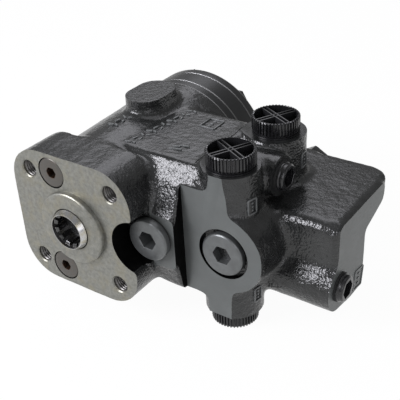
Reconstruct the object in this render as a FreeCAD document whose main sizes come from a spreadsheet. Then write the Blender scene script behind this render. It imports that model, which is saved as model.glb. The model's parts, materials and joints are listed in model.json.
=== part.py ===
import FreeCAD, Part
import math
import os
import Sketcher

# Orbital steering unit with a built-in priority valve, in millimetres.
# The steering axis is Y: the mounting flange faces -Y at y = 0 and the gear
# set closes the rear. +X points to the valve block and +Z to the upper ports.

SIZES = (
    # Mounting flange, spigot and column bolts
    ("flange_width", 85.0),
    ("flange_round", 21.5),
    ("flange_depth", 27.2),
    ("bolt_spacing", 58.33),
    ("bolt_bore", 8.5),
    ("bolt_depth", 18.0),
    ("bolt_countersink", 10.1),
    ("bolt_countersink_depth", 0.45),
    ("spigot_diameter", 44.4),
    ("spigot_height", 3.3),
    ("spigot_chamfer", 0.8),
    # Casting: barrel, shoulder and oval pad
    ("housing_length", 106.4),
    ("barrel_front_radius", 42.4),
    ("barrel_waist_radius", 44.2),
    ("barrel_waist_end", 82.0),
    ("barrel_radius", 46.0),
    ("barrel_flare_end", 98.0),
    ("barrel_shoulder", 8.0),
    ("top_flat_height", 41.5),
    ("top_flat_rear", 89.0),
    ("top_flat_front", 31.5),
    ("shoulder_top", 31.4),
    ("shoulder_low", 12.6),
    ("belly_top", -16.6),
    ("belly_bottom", -32.4),
    ("belly_front", 20.0),
    ("shoulder_width", 58.4),
    ("oval_pad_height", 52.0),
    ("oval_pad_radius", 12.0),
    ("oval_pad_length", 34.0),
    ("oval_pad_x", -1.0),
    ("oval_pad_y", 78.0),
    # Machined front faces
    ("notch_face", 15.0),
    ("notch_radius", 16.3),
    ("valve_face", 24.0),
    ("valve_face_right", 86.0),
    ("valve_boss_radius", 23.7),
    # Main bore and what turns in it
    ("bore_radius", 19.05),
    ("nose_hole_radius", 12.6),
    ("mouth_radius", 12.65),
    ("mouth_length", 1.2),
    ("dust_seat_radius", 13.5),
    ("dust_seat_end", 1.2),
    ("seal_seat_radius", 16.5),
    ("seal_seat_start", 5.5),
    ("bearing_seat", 12.0),
    ("gallery_depth", 3.0),
    ("gallery_width", 5.0),
    ("gallery_first", 48.0),
    ("gallery_pitch", 9.8),
    ("running_gap", 0.05),
    ("seat_gap", 0.05),
    ("race_thickness", 1.5),
    ("race_bore_radius", 12.7),
    ("needle_diameter", 2.0),
    ("needle_length", 4.2),
    ("cage_thickness", 1.2),
    ("spool_radius", 14.0),
    ("spool_nose_radius", 12.25),
    ("spool_nose_front", -6.8),
    ("spool_nose_taper", 1.5),
    ("spool_nose_taper_length", 3.3),
    ("spline_lead_in", 2.0),
    ("spline_chamfer", 0.8),
    ("spool_bore_radius", 11.0),
    ("spline_minor_radius", 8.8),
    ("spline_major_radius", 10.5),
    ("spline_depth", 22.0),
    ("axial_play", 0.1),
    ("pin_station", 40.0),
    ("pin_diameter", 8.0),
    ("pin_window", 13.2),
    ("spring_station", 27.0),
    ("spring_blade_width", 7.0),
    ("spring_blade_thickness", 0.8),
    ("spring_window", 8.4),
    # Cardan shaft and gear set
    ("cardan_radius", 7.5),
    ("cardan_slot", 8.9),
    ("cardan_front", 8.0),
    ("head_minor_radius", 10.4),
    ("head_major_radius", 12.9),
    ("head_length", 9.0),
    ("tooth_clearance", 0.45),
    ("plate_thickness", 6.5),
    ("plate_hole_radius", 12.0),
    ("ring_thickness", 13.0),
    ("cover_thickness", 7.0),
    ("cover_chamfer", 0.8),
    ("lobe_circle_radius", 33.0),
    ("lobe_radius", 8.0),
    ("ring_cavity_radius", 30.7),
    ("eccentricity", 2.8),
    ("rotor_gap", 0.08),
    ("rotor_side_gap", 0.05),
    ("kidney_circle", 28.0),
    ("kidney_diameter", 5.0),
    ("seal_ring_radius", 32.4),
    ("seal_ring_section", 1.6),
    ("screw_circle", 38.0),
    ("screw_radius", 4.0),
    ("screw_reach", 15.0),
    ("screw_head_height", 4.3),
    ("screw_head_flats", 12.0),
    ("spot_face_radius", 7.1),
    ("spot_face_depth", 2.2),
    ("washer_radius", 6.8),
    ("washer_thickness", 1.0),
    # Check and suction valves behind the distributor plate
    ("rear_valve_circle", 26.0),
    ("rear_valve_depth", 18.4),
    ("rear_valve_passage", 8.0),
    ("check_bore_radius", 5.0),
    ("check_seat_radius", 3.0),
    ("check_ball_radius", 4.0),
    ("check_travel", 3.0),
    ("suction_bore_radius", 4.5),
    ("suction_seat_radius", 2.6),
    ("suction_ball_radius", 3.5),
    ("suction_travel", 2.0),
    # Shock valves, one above and one below the spigot
    ("shock_x", -12.0),
    ("shock_z", 31.0),
    ("shock_head_radius", 8.95),
    ("shock_head_depth", 7.0),
    ("shock_thread_radius", 6.5),
    ("shock_plug_length", 14.0),
    ("shock_bore_end", 30.0),
    ("shock_passage_end", 42.0),
    ("shock_seat_height", 4.0),
    ("shock_seat_hole", 3.2),
    ("shock_ball_radius", 4.0),
    ("shock_travel", 1.2),
    ("shock_socket", 6.0),
    # Relief valve in the notch beside the flange
    ("relief_x", 43.7),
    ("relief_z", -0.4),
    ("relief_disc_radius", 12.7),
    ("relief_face", 10.0),
    ("relief_thread_radius", 9.0),
    ("relief_thread_length", 12.0),
    ("relief_cell_radius", 7.0),
    ("relief_bore_end", 52.0),
    ("relief_seat_hole", 2.5),
    ("relief_travel", 2.0),
    # Priority valve across the block
    ("priority_x", 83.5),
    ("priority_z", -3.5),
    ("priority_face", 22.5),
    ("priority_recess_radius", 15.25),
    ("priority_recess_end", 27.5),
    ("priority_thread_radius", 10.0),
    ("priority_thread_end", 40.0),
    ("priority_spool_radius", 8.0),
    ("priority_spool_length", 47.0),
    ("priority_travel", 4.0),
    ("priority_rear_face", 121.0),
    ("priority_rear_radius", 12.0),
    ("priority_rear_depth", 20.0),
    ("priority_rear_boss", 18.8),
    ("priority_hex_flats", 30.0),
    ("priority_hex_height", 7.5),
    ("socket_large", 10.0),
    ("socket_small", 9.5),
    ("socket_small_depth", 5.0),
    ("plug_seal_thickness", 1.2),
    # Ports with their bosses and transit caps
    ("port_x", 80.3),
    ("port_front_y", 39.3),
    ("port_rear_y", 85.5),
    ("port_top", 42.5),
    ("port_bottom", -46.0),
    ("boss_front_radius", 15.6),
    ("boss_rear_radius", 17.2),
    ("boss_lower_radius", 16.7),
    ("port_bore_radius", 9.3),
    ("port_depth", 15.0),
    ("port_drill_radius", 6.0),
    ("port_drill_depth", 22.0),
    ("auxiliary_x", 111.5),
    ("auxiliary_z", -24.0),
    ("cap_radius", 13.5),
    ("cap_height", 9.5),
    ("cap_collar_height", 1.6),
    ("cap_wall", 1.6),
    ("cap_floor", 2.6),
    ("cap_rib", 0.9),
    ("cap_rib_gap", 1.6),
    ("cap_shank_radius", 9.2),
    ("cap_shank_length", 9.0),
    ("cap_flute_depth", 0.45),
    # Valve block on the right
    ("block_end", 137.0),
    ("block_front", 49.6),
    ("block_top", 15.5),
    ("block_rear", 120.0),
    ("block_corner", 13.0),
    ("block_front_corner", 4.0),
    ("block_edge_round", 6.5),
    ("block_low_rear", 85.5),
    ("block_bottom", -41.3),
    ("lug_low", -4.4),
    ("lug_rear_low", 7.0),
    ("ridge_y", 56.0),
    ("ridge_z", -24.5),
    ("ridge_radius", 14.4),
    ("web_top", 33.0),
    ("web_right", 90.0),
    ("web_rear", 98.0),
    ("gauge_y", 62.0),
    ("gauge_z", 29.5),
    ("gauge_face", 97.0),
    ("gauge_boss_radius", 11.5),
    ("end_plug_y", 55.0),
    ("end_plug_z", -24.0),
    ("small_plug_radius", 8.1),
    ("small_plug_height", 3.8),
    ("small_thread_radius", 6.6),
    ("small_thread_length", 10.0),
    ("small_bore_depth", 16.0),
)
SPLINE_TEETH = 12
HEAD_TEETH = 12
RING_LOBES = 7
SCREWS = 7
GALLERIES = 4
NEEDLES = 18
CAP_FLUTES = 44
SLEEVE_HOLES = 6
SPOOL_GROOVES = 6
CUT_MARGIN = 1.0
# How far one cast form runs into the next
OVERLAP = 2.0

doc = FreeCAD.newDocument("orbital_steering_unit")
sheet = doc.addObject("Spreadsheet::Sheet", "sizes")


class Size:
    """A length with the sheet expression that gives it."""

    def __init__(self, value, text):
        self.value = value
        self.text = text

    def __add__(self, other):
        other = as_size(other)
        return Size(self.value + other.value, "(%s + %s)" % (self.text, other.text))

    def __sub__(self, other):
        other = as_size(other)
        return Size(self.value - other.value, "(%s - %s)" % (self.text, other.text))

    def __mul__(self, other):
        other = as_size(other)
        return Size(self.value * other.value, "(%s * %s)" % (self.text, other.text))

    def __truediv__(self, other):
        other = as_size(other)
        return Size(self.value / other.value, "(%s / %s)" % (self.text, other.text))

    def __radd__(self, other):
        return as_size(other) + self

    def __rsub__(self, other):
        return as_size(other) - self

    def __rmul__(self, other):
        return as_size(other) * self

    def __neg__(self):
        return Size(-self.value, "(0 - %s)" % self.text)


class Names:
    """The driving sizes as attributes."""


def as_size(number):
    if isinstance(number, Size):
        return number
    return Size(float(number), repr(float(number)))


def cosine(degrees):
    angle = as_size(degrees)
    return Size(math.cos(math.radians(angle.value)), "cos(%s)" % angle.text)


def sine(degrees):
    angle = as_size(degrees)
    return Size(math.sin(math.radians(angle.value)), "sin(%s)" % angle.text)


def root(size):
    size = as_size(size)
    return Size(math.sqrt(size.value), "sqrt(%s)" % size.text)


def reach(radius, off_centre):
    """How far along a circle of this radius a point lies at a given offset."""
    return root(radius * radius - off_centre * off_centre)


s = Names()
for row, (alias, number) in enumerate(SIZES, 1):
    sheet.set("A%d" % row, alias)
    sheet.set("B%d" % row, repr(number))
    sheet.setAlias("B%d" % row, alias)
    setattr(s, alias, Size(number, "sizes." + alias))
doc.recompute()

pieces = []


def vector(x, y, z=0.0):
    return FreeCAD.Vector(x, y, z)


def bind(thing, prop, size):
    thing.setExpression(prop, as_size(size).text)


def new_body(label, x=0, y=0, z=0, separate=False):
    """A PartDesign body that stands for one piece, placed by three sizes."""
    body = doc.addObject("PartDesign::Body", label)
    body.Label = label
    body.AllowCompound = separate
    place(body, x, y, z)
    pieces.append(body)
    return body


def place(piece, x, y, z):
    bind(piece, "Placement.Base.x", x)
    bind(piece, "Placement.Base.y", y)
    bind(piece, "Placement.Base.z", z)


def point_axis(piece, direction):
    """Turn a piece so that its own Y axis points along the row axis named."""
    turns = {
        "+Y": (vector(0, 0, 1), 0.0),
        "-Y": (vector(0, 0, 1), 180.0),
        "+Z": (vector(1, 0, 0), 90.0),
        "-Z": (vector(1, 0, 0), -90.0),
        "+X": (vector(0, 0, 1), -90.0),
    }
    axis, angle = turns[direction]
    piece.Placement = FreeCAD.Placement(piece.Placement.Base, FreeCAD.Rotation(axis, angle))


def origin_part(body, role):
    return [part for part in body.Origin.OriginFeatures if part.Role == role][0]


def new_sketch(body, name, role, offset):
    """A sketch parallel to an origin plane, at a coordinate along its axis."""
    sketch = body.newObject("Sketcher::SketchObject", name)
    sketch.AttachmentSupport = (origin_part(body, role), "")
    sketch.MapMode = "FlatFace"
    offset = as_size(offset)
    bind(sketch, "AttachmentOffset.Base.z", -offset if role == "XZ_Plane" else offset)
    return sketch


def fix_point(sketch, edge, end, x, y):
    """Hold one end of an edge at its distances from the sketch's origin."""
    for kind, size in (("DistanceX", x), ("DistanceY", y)):
        number = sketch.addConstraint(Sketcher.Constraint(kind, -1, 1, edge, end, size.value))
        bind(sketch, "Constraints[%d]" % number, size)


def draw_circle(sketch, x, y, radius):
    x, y, radius = as_size(x), as_size(y), as_size(radius)
    circle = Part.Circle(vector(x.value, y.value), vector(0, 0, 1), radius.value)
    edge = sketch.addGeometry(circle, False)
    fix_point(sketch, edge, 3, x, y)
    number = sketch.addConstraint(Sketcher.Constraint("Radius", edge, radius.value))
    bind(sketch, "Constraints[%d]" % number, radius)


def draw_outline(sketch, points):
    """A closed outline: (x, y) is a straight edge's end, (x, y, r) an arc's end.

    The arc turns left where r is positive and right where it is negative. A
    last point that repeats the first one closes the outline with its own edge.
    """
    corners = [tuple(as_size(part) for part in point) for point in points]
    first, last = corners[0], corners[-1]
    if abs(first[0].value - last[0].value) + abs(first[1].value - last[1].value) > 1e-6:
        corners.append((first[0], first[1]))
    edges = []
    for start, end in zip(corners, corners[1:]):
        a = vector(start[0].value, start[1].value)
        b = vector(end[0].value, end[1].value)
        if len(end) == 2:
            edges.append((sketch.addGeometry(Part.LineSegment(a, b), False), 1, 2))
            continue
        radius = end[2].value
        chord = b - a
        height = math.sqrt(max(radius * radius - chord.Length * chord.Length / 4, 0.0))
        left = vector(-chord.y, chord.x) / chord.Length
        centre = (a + b) / 2 + left * (height if radius > 0 else -height)
        low, high = (a, b) if radius > 0 else (b, a)
        angles = [math.atan2(p.y - centre.y, p.x - centre.x) for p in (low, high)]
        circle = Part.Circle(centre, vector(0, 0, 1), abs(radius))
        arc = sketch.addGeometry(Part.ArcOfCircle(circle, angles[0], angles[1]), False)
        edges.append((arc, 1, 2) if radius > 0 else (arc, 2, 1))
        number = sketch.addConstraint(Sketcher.Constraint("Radius", arc, abs(radius)))
        bind(sketch, "Constraints[%d]" % number, end[2] if radius > 0 else -end[2])
    for index, (edge, start_end, far_end) in enumerate(edges):
        next_edge, next_start, _ = edges[(index + 1) % len(edges)]
        sketch.addConstraint(Sketcher.Constraint("Coincident", edge, far_end, next_edge, next_start))
        fix_point(sketch, edge, start_end, corners[index][0], corners[index][1])


def volume_of(body):
    return body.Shape.Volume if body.Tip else 0.0


def finish_feature(body, feature, before, cut):
    """Recompute, then make sure that the feature really added or cut."""
    doc.recompute()
    after = volume_of(body)
    if "Invalid" in feature.State or "Error" in feature.State:
        raise RuntimeError("%s in %s failed" % (feature.Label, body.Label))
    if (cut and after >= before) or (not cut and after <= before):
        raise RuntimeError("%s in %s changed nothing" % (feature.Label, body.Label))
    return feature


def extrude(body, name, role, start, end, outlines=(), circles=(), cut=False):
    """Pad or pocket closed outlines between two coordinates along an axis."""
    before = volume_of(body)
    sketch = new_sketch(body, name + "_sketch", role, start)
    for outline in outlines:
        draw_outline(sketch, outline)
    for circle in circles:
        draw_circle(sketch, *circle)
    feature = body.newObject("PartDesign::Pocket" if cut else "PartDesign::Pad", name)
    feature.Profile = sketch
    bind(feature, "Length", as_size(end) - start)
    feature.Reversed = (role == "XZ_Plane") != cut
    return finish_feature(body, feature, before, cut)


def turn(body, name, outline, cut=False, role="XY_Plane", offset=0, centre=0, along="y"):
    """Revolve or groove an outline of (radius, distance along the axis) pairs."""
    before = volume_of(body)
    sketch = new_sketch(body, name + "_sketch", role, offset)
    centre = as_size(centre)
    points = []
    for radius, distance, *bend in outline:
        across = centre + radius
        pair = (across, distance) if along == "y" else (distance, across)
        points.append(pair + tuple(bend))
    draw_outline(sketch, points)
    near, far = as_size(0.0), as_size(10.0)
    ends = [(centre, near), (centre, far)] if along == "y" else [(near, centre), (far, centre)]
    line = Part.LineSegment(*[vector(x.value, y.value) for x, y in ends])
    axis = sketch.addGeometry(line, True)
    for end, (x, y) in enumerate(ends, 1):
        fix_point(sketch, axis, end, x, y)
    feature = body.newObject("PartDesign::Groove" if cut else "PartDesign::Revolution", name)
    feature.Profile = sketch
    feature.ReferenceAxis = (sketch, ["Axis0"])
    feature.Angle = 360
    return finish_feature(body, feature, before, cut)


def repeat(body, name, features, count, role="Y_Axis"):
    """Copy features evenly round one of the body's own axes."""
    pattern = body.newObject("PartDesign::PolarPattern", name)
    pattern.Originals = features
    pattern.Axis = (origin_part(body, role), [""])
    pattern.Angle = 360
    pattern.Occurrences = count
    body.Tip = pattern
    doc.recompute()
    if "Invalid" in pattern.State:
        raise RuntimeError("%s in %s failed" % (name, body.Label))
    return pattern


def hexagon(across_flats, corner_up=False):
    """A regular hexagon's outline about the sketch's origin."""
    corner = across_flats / cosine(30) / 2
    start = 90 if corner_up else 0
    return [(corner * cosine(start + 60 * k), corner * sine(start + 60 * k)) for k in range(6)]


def ring_outline(inner, outer, low, high):
    return [(inner, low), (outer, low), (outer, high), (inner, high)]


# Stations along the steering axis

rear_face = s.housing_length
plate_end = rear_face + s.plate_thickness
ring_end = plate_end + s.ring_thickness
cover_end = ring_end + s.cover_thickness
washer_seat = cover_end - s.spot_face_depth
race_outer = s.bore_radius - s.running_gap * 2
first_race_end = s.bearing_seat + s.race_thickness
needle_end = first_race_end + s.needle_diameter + s.seat_gap * 2
second_race_end = needle_end + s.race_thickness
sleeve_start = second_race_end + s.seat_gap
sleeve_end = rear_face - s.axial_play
sleeve_radius = s.bore_radius - s.running_gap
sleeve_bore = s.spool_radius + s.running_gap
spool_shoulder = sleeve_start + 1
spool_end = sleeve_end - s.axial_play
rotor_middle = plate_end + s.ring_thickness / 2


def add_casting(body):
    """The casting's solid form: flange, barrel, shoulder, bosses and block."""
    half = s.flange_width / 2
    straight = half - s.flange_round
    flange = [
        (straight, -half), (half, -straight, s.flange_round),
        (half, straight), (straight, half, s.flange_round),
        (-straight, half), (-half, straight, s.flange_round),
        (-half, -straight), (-straight, -half, s.flange_round),
    ]
    extrude(body, "flange", "XZ_Plane", 0, s.flange_depth, [flange])
    spigot_edge = s.spigot_diameter / 2
    turn(body, "spigot", [
        (0, -s.spigot_height),
        (spigot_edge - s.spigot_chamfer, -s.spigot_height),
        (spigot_edge, s.spigot_chamfer - s.spigot_height),
        (spigot_edge, s.flange_depth), (0, s.flange_depth),
    ])
    turn(body, "barrel", [
        (0, s.notch_face), (s.barrel_front_radius - s.barrel_shoulder, s.notch_face),
        (s.barrel_front_radius, s.flange_depth - OVERLAP), (s.barrel_waist_radius, s.barrel_waist_end),
        (s.barrel_radius, s.barrel_flare_end), (s.barrel_radius, rear_face), (0, rear_face),
    ])
    shoulder = [
        (s.notch_face, s.belly_top), (s.belly_front, s.belly_bottom),
        (s.top_flat_rear, s.belly_bottom), (s.top_flat_rear, s.top_flat_height),
        (s.top_flat_front, s.top_flat_height), (s.valve_face, s.shoulder_top),
        (s.notch_face, s.shoulder_low),
    ]
    extrude(body, "shoulder", "YZ_Plane", 0, s.shoulder_width, [shoulder])
    side = [
        (s.valve_face, s.belly_bottom - 2), (s.web_rear, s.belly_bottom - 2),
        (s.web_rear, s.web_top), (s.top_flat_front + 3, s.web_top), (s.valve_face, s.shoulder_top),
    ]
    extrude(body, "port_web", "YZ_Plane", s.oval_pad_radius, s.valve_face_right, [side])
    bridge = [
        (s.port_front_y, s.priority_z), (s.web_rear, s.priority_z),
        (s.web_rear, s.web_top), (s.port_front_y, s.web_top),
    ]
    extrude(body, "port_bridge", "YZ_Plane", s.shoulder_width, s.web_right, [bridge])
    boss_side = s.port_x - s.boss_front_radius + OVERLAP
    extrude(body, "top_flat", "YZ_Plane", s.shoulder_width - OVERLAP, boss_side, [[
        (s.valve_face, s.web_top - OVERLAP), (s.top_flat_rear, s.web_top - OVERLAP),
        (s.top_flat_rear, s.top_flat_height), (s.top_flat_front, s.top_flat_height),
        (s.valve_face, s.shoulder_top),
    ]])
    extrude(body, "valve_boss", "XZ_Plane", s.valve_face, s.block_front + 4, circles=[
        (s.priority_x, s.priority_z, s.valve_boss_radius),
    ])
    ports = (
        ("front_upper", s.port_front_y, s.boss_front_radius, s.priority_z, s.port_top),
        ("rear_upper", s.port_rear_y, s.boss_rear_radius, s.priority_z, s.port_top),
        ("front_lower", s.port_front_y, s.boss_lower_radius, s.port_bottom, s.priority_z),
        ("rear_lower", s.port_rear_y, s.boss_lower_radius, s.port_bottom, s.priority_z),
    )
    for name, y, radius, low, high in ports:
        extrude(body, name + "_boss", "XY_Plane", low, high, circles=[(s.port_x, y, radius)])
    extrude(body, "valve_face_cut", "XZ_Plane", -s.spigot_height, s.valve_face, [[
        (s.shoulder_width, s.port_bottom - CUT_MARGIN), (s.block_end, s.port_bottom - CUT_MARGIN),
        (s.block_end, s.port_top + CUT_MARGIN), (s.shoulder_width, s.port_top + CUT_MARGIN),
    ]], cut=True)
    add_valve_block(body)
    extrude(body, "gauge_boss", "YZ_Plane", s.shoulder_width, s.gauge_face, circles=[
        (s.gauge_y, s.gauge_z, s.gauge_boss_radius),
    ])
    extrude(body, "priority_rear_boss", "XZ_Plane", s.port_rear_y, s.priority_rear_face, circles=[
        (s.priority_x, s.priority_z, s.priority_rear_boss),
    ])
    straight_half = s.oval_pad_length / 2 - s.oval_pad_radius
    right, left = s.oval_pad_x + s.oval_pad_radius, s.oval_pad_x - s.oval_pad_radius
    low, high = s.oval_pad_y - straight_half, s.oval_pad_y + straight_half
    extrude(body, "oval_pad", "XY_Plane", s.shoulder_top, s.oval_pad_height, [[
        (right, low), (right, high), (s.oval_pad_x, high + s.oval_pad_radius, s.oval_pad_radius),
        (left, high, s.oval_pad_radius), (left, low),
        (s.oval_pad_x, low - s.oval_pad_radius, s.oval_pad_radius), (right, low, s.oval_pad_radius),
    ]])


def add_valve_block(body):
    """The block on the right: ridge, lower part and the lug behind it."""
    edge = s.block_edge_round
    ridge_low = s.ridge_z - s.ridge_radius
    ridge_meets = s.ridge_z + reach(s.ridge_radius, s.ridge_y - s.block_front)
    section = [
        (s.block_low_rear, s.block_bottom), (s.block_low_rear, s.lug_low - 4),
        (s.block_low_rear + 3, s.lug_low, -4), (s.block_rear, s.lug_rear_low),
        (s.block_rear, s.block_top), (s.block_front + edge, s.block_top),
        (s.block_front, s.block_top - edge, edge), (s.block_front, ridge_meets),
        (s.ridge_y - s.ridge_radius, s.ridge_z, s.ridge_radius), (s.ridge_y, ridge_low, s.ridge_radius),
        (s.ridge_y + s.ridge_radius, s.block_bottom),
    ]
    extrude(body, "valve_block", "YZ_Plane", s.shoulder_width, s.block_end, [section])
    inner = s.block_end - s.block_corner
    extrude(body, "block_corner_cut", "XY_Plane", s.block_top + CUT_MARGIN, s.lug_low, [[
        (inner, s.block_rear), (s.block_end, s.block_rear - s.block_corner, -s.block_corner),
        (s.block_end + CUT_MARGIN, s.block_rear - s.block_corner),
        (s.block_end + CUT_MARGIN, s.block_rear + CUT_MARGIN), (inner, s.block_rear + CUT_MARGIN),
    ]], cut=True)
    corner = s.block_front_corner
    inner, low = s.block_end - corner, s.block_front - CUT_MARGIN
    extrude(body, "block_front_round", "XY_Plane", s.block_top + CUT_MARGIN, ridge_meets + 1, [[
        (inner, s.block_front), (s.block_end, s.block_front + corner, corner),
        (s.block_end + CUT_MARGIN, s.block_front + corner), (s.block_end + CUT_MARGIN, low), (inner, low),
    ]], cut=True)


def cut_steering_bore(body):
    """The stepped main bore with its cored ring galleries."""
    wall, deep = s.bore_radius, s.bore_radius + s.gallery_depth
    mouth = -s.spigot_height - CUT_MARGIN
    outline = [
        (0, mouth), (s.mouth_radius, mouth), (s.mouth_radius, s.mouth_length - s.spigot_height),
        (s.dust_seat_radius, s.mouth_length - s.spigot_height),
        (s.dust_seat_radius, s.dust_seat_end), (s.nose_hole_radius, s.dust_seat_end),
        (s.nose_hole_radius, s.seal_seat_start), (s.seal_seat_radius, s.seal_seat_start),
        (s.seal_seat_radius, s.bearing_seat), (wall, s.bearing_seat),
    ]
    for number in range(GALLERIES):
        start = s.gallery_first + s.gallery_pitch * number
        end = start + s.gallery_width
        outline += [(wall, start), (deep, start), (deep, end), (wall, end)]
    outline += [(wall, rear_face + CUT_MARGIN), (0, rear_face + CUT_MARGIN)]
    turn(body, "steering_bore", outline, cut=True)


def cut_flange(body):
    """The notch for the relief plug and the four tapped column holes."""
    extrude(body, "notch", "XZ_Plane", -CUT_MARGIN, s.notch_face, circles=[
        (s.relief_x, s.relief_z, s.notch_radius),
    ], cut=True)
    tap, sink = s.bolt_bore / 2, s.bolt_countersink / 2
    hole = turn(body, "column_hole", [
        (0, -CUT_MARGIN), (sink, -CUT_MARGIN), (sink, 0), (tap, s.bolt_countersink_depth),
        (tap, s.bolt_depth), (0, s.bolt_depth + tap / 2),
    ], cut=True, offset=s.bolt_spacing / 2, centre=s.bolt_spacing / 2)
    repeat(body, "column_holes", [hole], 4)


def bore(body, name, x, z, steps, mouth, cone=True):
    """A stepped bore along Y: steps are (radius, end) pairs from the mouth."""
    outline = [(0, mouth)]
    start = mouth
    for radius, end in steps:
        outline += [(radius, start), (radius, end)]
        start = end
    tip = steps[-1][0] / 2
    outline.append((0, start + tip if cone else start))
    return turn(body, name, outline, cut=True, offset=z, centre=x)


def cut_valve_bores(body):
    """Bores of the shock, relief and priority valves, all along Y."""
    gap = s.seat_gap
    for name, z in (("upper", s.shock_z), ("lower", -s.shock_z)):
        bore(body, "shock_bore_" + name, s.shock_x, z, [
            (s.shock_head_radius + gap, s.shock_head_depth),
            (s.shock_thread_radius + gap, s.shock_bore_end),
            (s.shock_seat_hole, s.shock_passage_end),
        ], -CUT_MARGIN)
    bore(body, "relief_bore", s.relief_x, s.relief_z, [
        (s.relief_thread_radius + gap, s.notch_face + s.relief_thread_length + 2),
        (s.relief_cell_radius + gap, s.relief_bore_end),
        (s.relief_seat_hole + 1, s.relief_bore_end + 8),
    ], s.notch_face - CUT_MARGIN)
    rear_start = s.priority_rear_face - s.priority_rear_depth
    bore(body, "priority_bore", s.priority_x, s.priority_z, [
        (s.priority_recess_radius, s.priority_recess_end),
        (s.priority_thread_radius + gap, s.priority_thread_end),
        (s.priority_spool_radius + s.running_gap, rear_start),
        (s.priority_rear_radius + gap, s.priority_rear_face + CUT_MARGIN),
    ], s.valve_face - CUT_MARGIN, cone=False)


def port_outline(face, inward):
    """A port bore's section; inward is +1 or -1 along its axis."""
    wall, drill = s.port_bore_radius, s.port_drill_radius
    mouth = face - CUT_MARGIN * inward
    floor = face + s.port_depth * inward
    end = face + s.port_drill_depth * inward
    return [
        (0, mouth), (wall + CUT_MARGIN * 2, mouth), (wall, face + CUT_MARGIN * inward),
        (wall, floor), (drill, floor), (drill, end), (0, end + drill / 2 * inward),
    ]


def cut_ports(body):
    """Four ports along Z, the priority outlet along Y and two gauge ports."""
    for name, y in (("front", s.port_front_y), ("rear", s.port_rear_y)):
        turn(body, name + "_upper_port", port_outline(s.port_top, -1), cut=True,
             role="XZ_Plane", offset=y, centre=s.port_x)
        turn(body, name + "_lower_port", port_outline(s.port_bottom, 1), cut=True,
             role="XZ_Plane", offset=y, centre=s.port_x)
    turn(body, "auxiliary_port", port_outline(s.block_low_rear, -1), cut=True,
         offset=s.auxiliary_z, centre=s.auxiliary_x)
    wall = s.small_thread_radius + s.seat_gap
    plugs = (
        ("gauge_bore", s.gauge_face, s.gauge_y, s.gauge_z),
        ("end_bore", s.block_end, s.end_plug_y, s.end_plug_z),
    )
    for name, face, y, z in plugs:
        turn(body, name, [
            (0, face + CUT_MARGIN), (wall, face + CUT_MARGIN),
            (wall, face - s.small_bore_depth), (0, face - s.small_bore_depth - wall / 2),
        ], cut=True, offset=z, centre=y, along="x")


def rear_valve_place(angle):
    return s.rear_valve_circle * cosine(angle), s.rear_valve_circle * sine(angle)


REAR_VALVES = (("check", 90), ("suction_left", 210), ("suction_right", 330))


def cut_rear_face(body):
    """Screw holes, valve pockets and the seal groove of the rear face."""
    hole = turn(body, "screw_hole", [
        (0, rear_face + CUT_MARGIN), (s.screw_radius + s.seat_gap, rear_face + CUT_MARGIN),
        (s.screw_radius + s.seat_gap, rear_face - s.screw_reach - 3),
        (0, rear_face - s.screw_reach - 5),
    ], cut=True, centre=s.screw_circle)
    repeat(body, "screw_holes", [hole], SCREWS)
    seat = rear_face - s.rear_valve_depth
    for name, angle in REAR_VALVES:
        x, z = rear_valve_place(angle)
        wide = s.check_bore_radius if name == "check" else s.suction_bore_radius
        narrow = s.check_seat_radius if name == "check" else s.suction_seat_radius
        turn(body, name + "_pocket", [
            (0, rear_face + CUT_MARGIN), (wide + s.seat_gap, rear_face + CUT_MARGIN),
            (wide + s.seat_gap, seat), (narrow, seat),
            (narrow, seat - s.rear_valve_passage), (0, seat - s.rear_valve_passage - 1),
        ], cut=True, offset=z, centre=x)
    cut_seal_groove(body, rear_face, -1)


def cut_seal_groove(body, face, inward):
    """A square groove for a seal ring in a flat face."""
    half = s.seal_ring_section / 2 + s.seat_gap
    floor = face + s.seal_ring_section * inward
    turn(body, "seal_groove", ring_outline(
        s.seal_ring_radius - half, s.seal_ring_radius + half, floor, face - CUT_MARGIN * inward,
    ), cut=True)


def make_housing():
    body = new_body("housing")
    add_casting(body)
    cut_steering_bore(body)
    cut_flange(body)
    cut_valve_bores(body)
    cut_ports(body)
    cut_rear_face(body)


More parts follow.
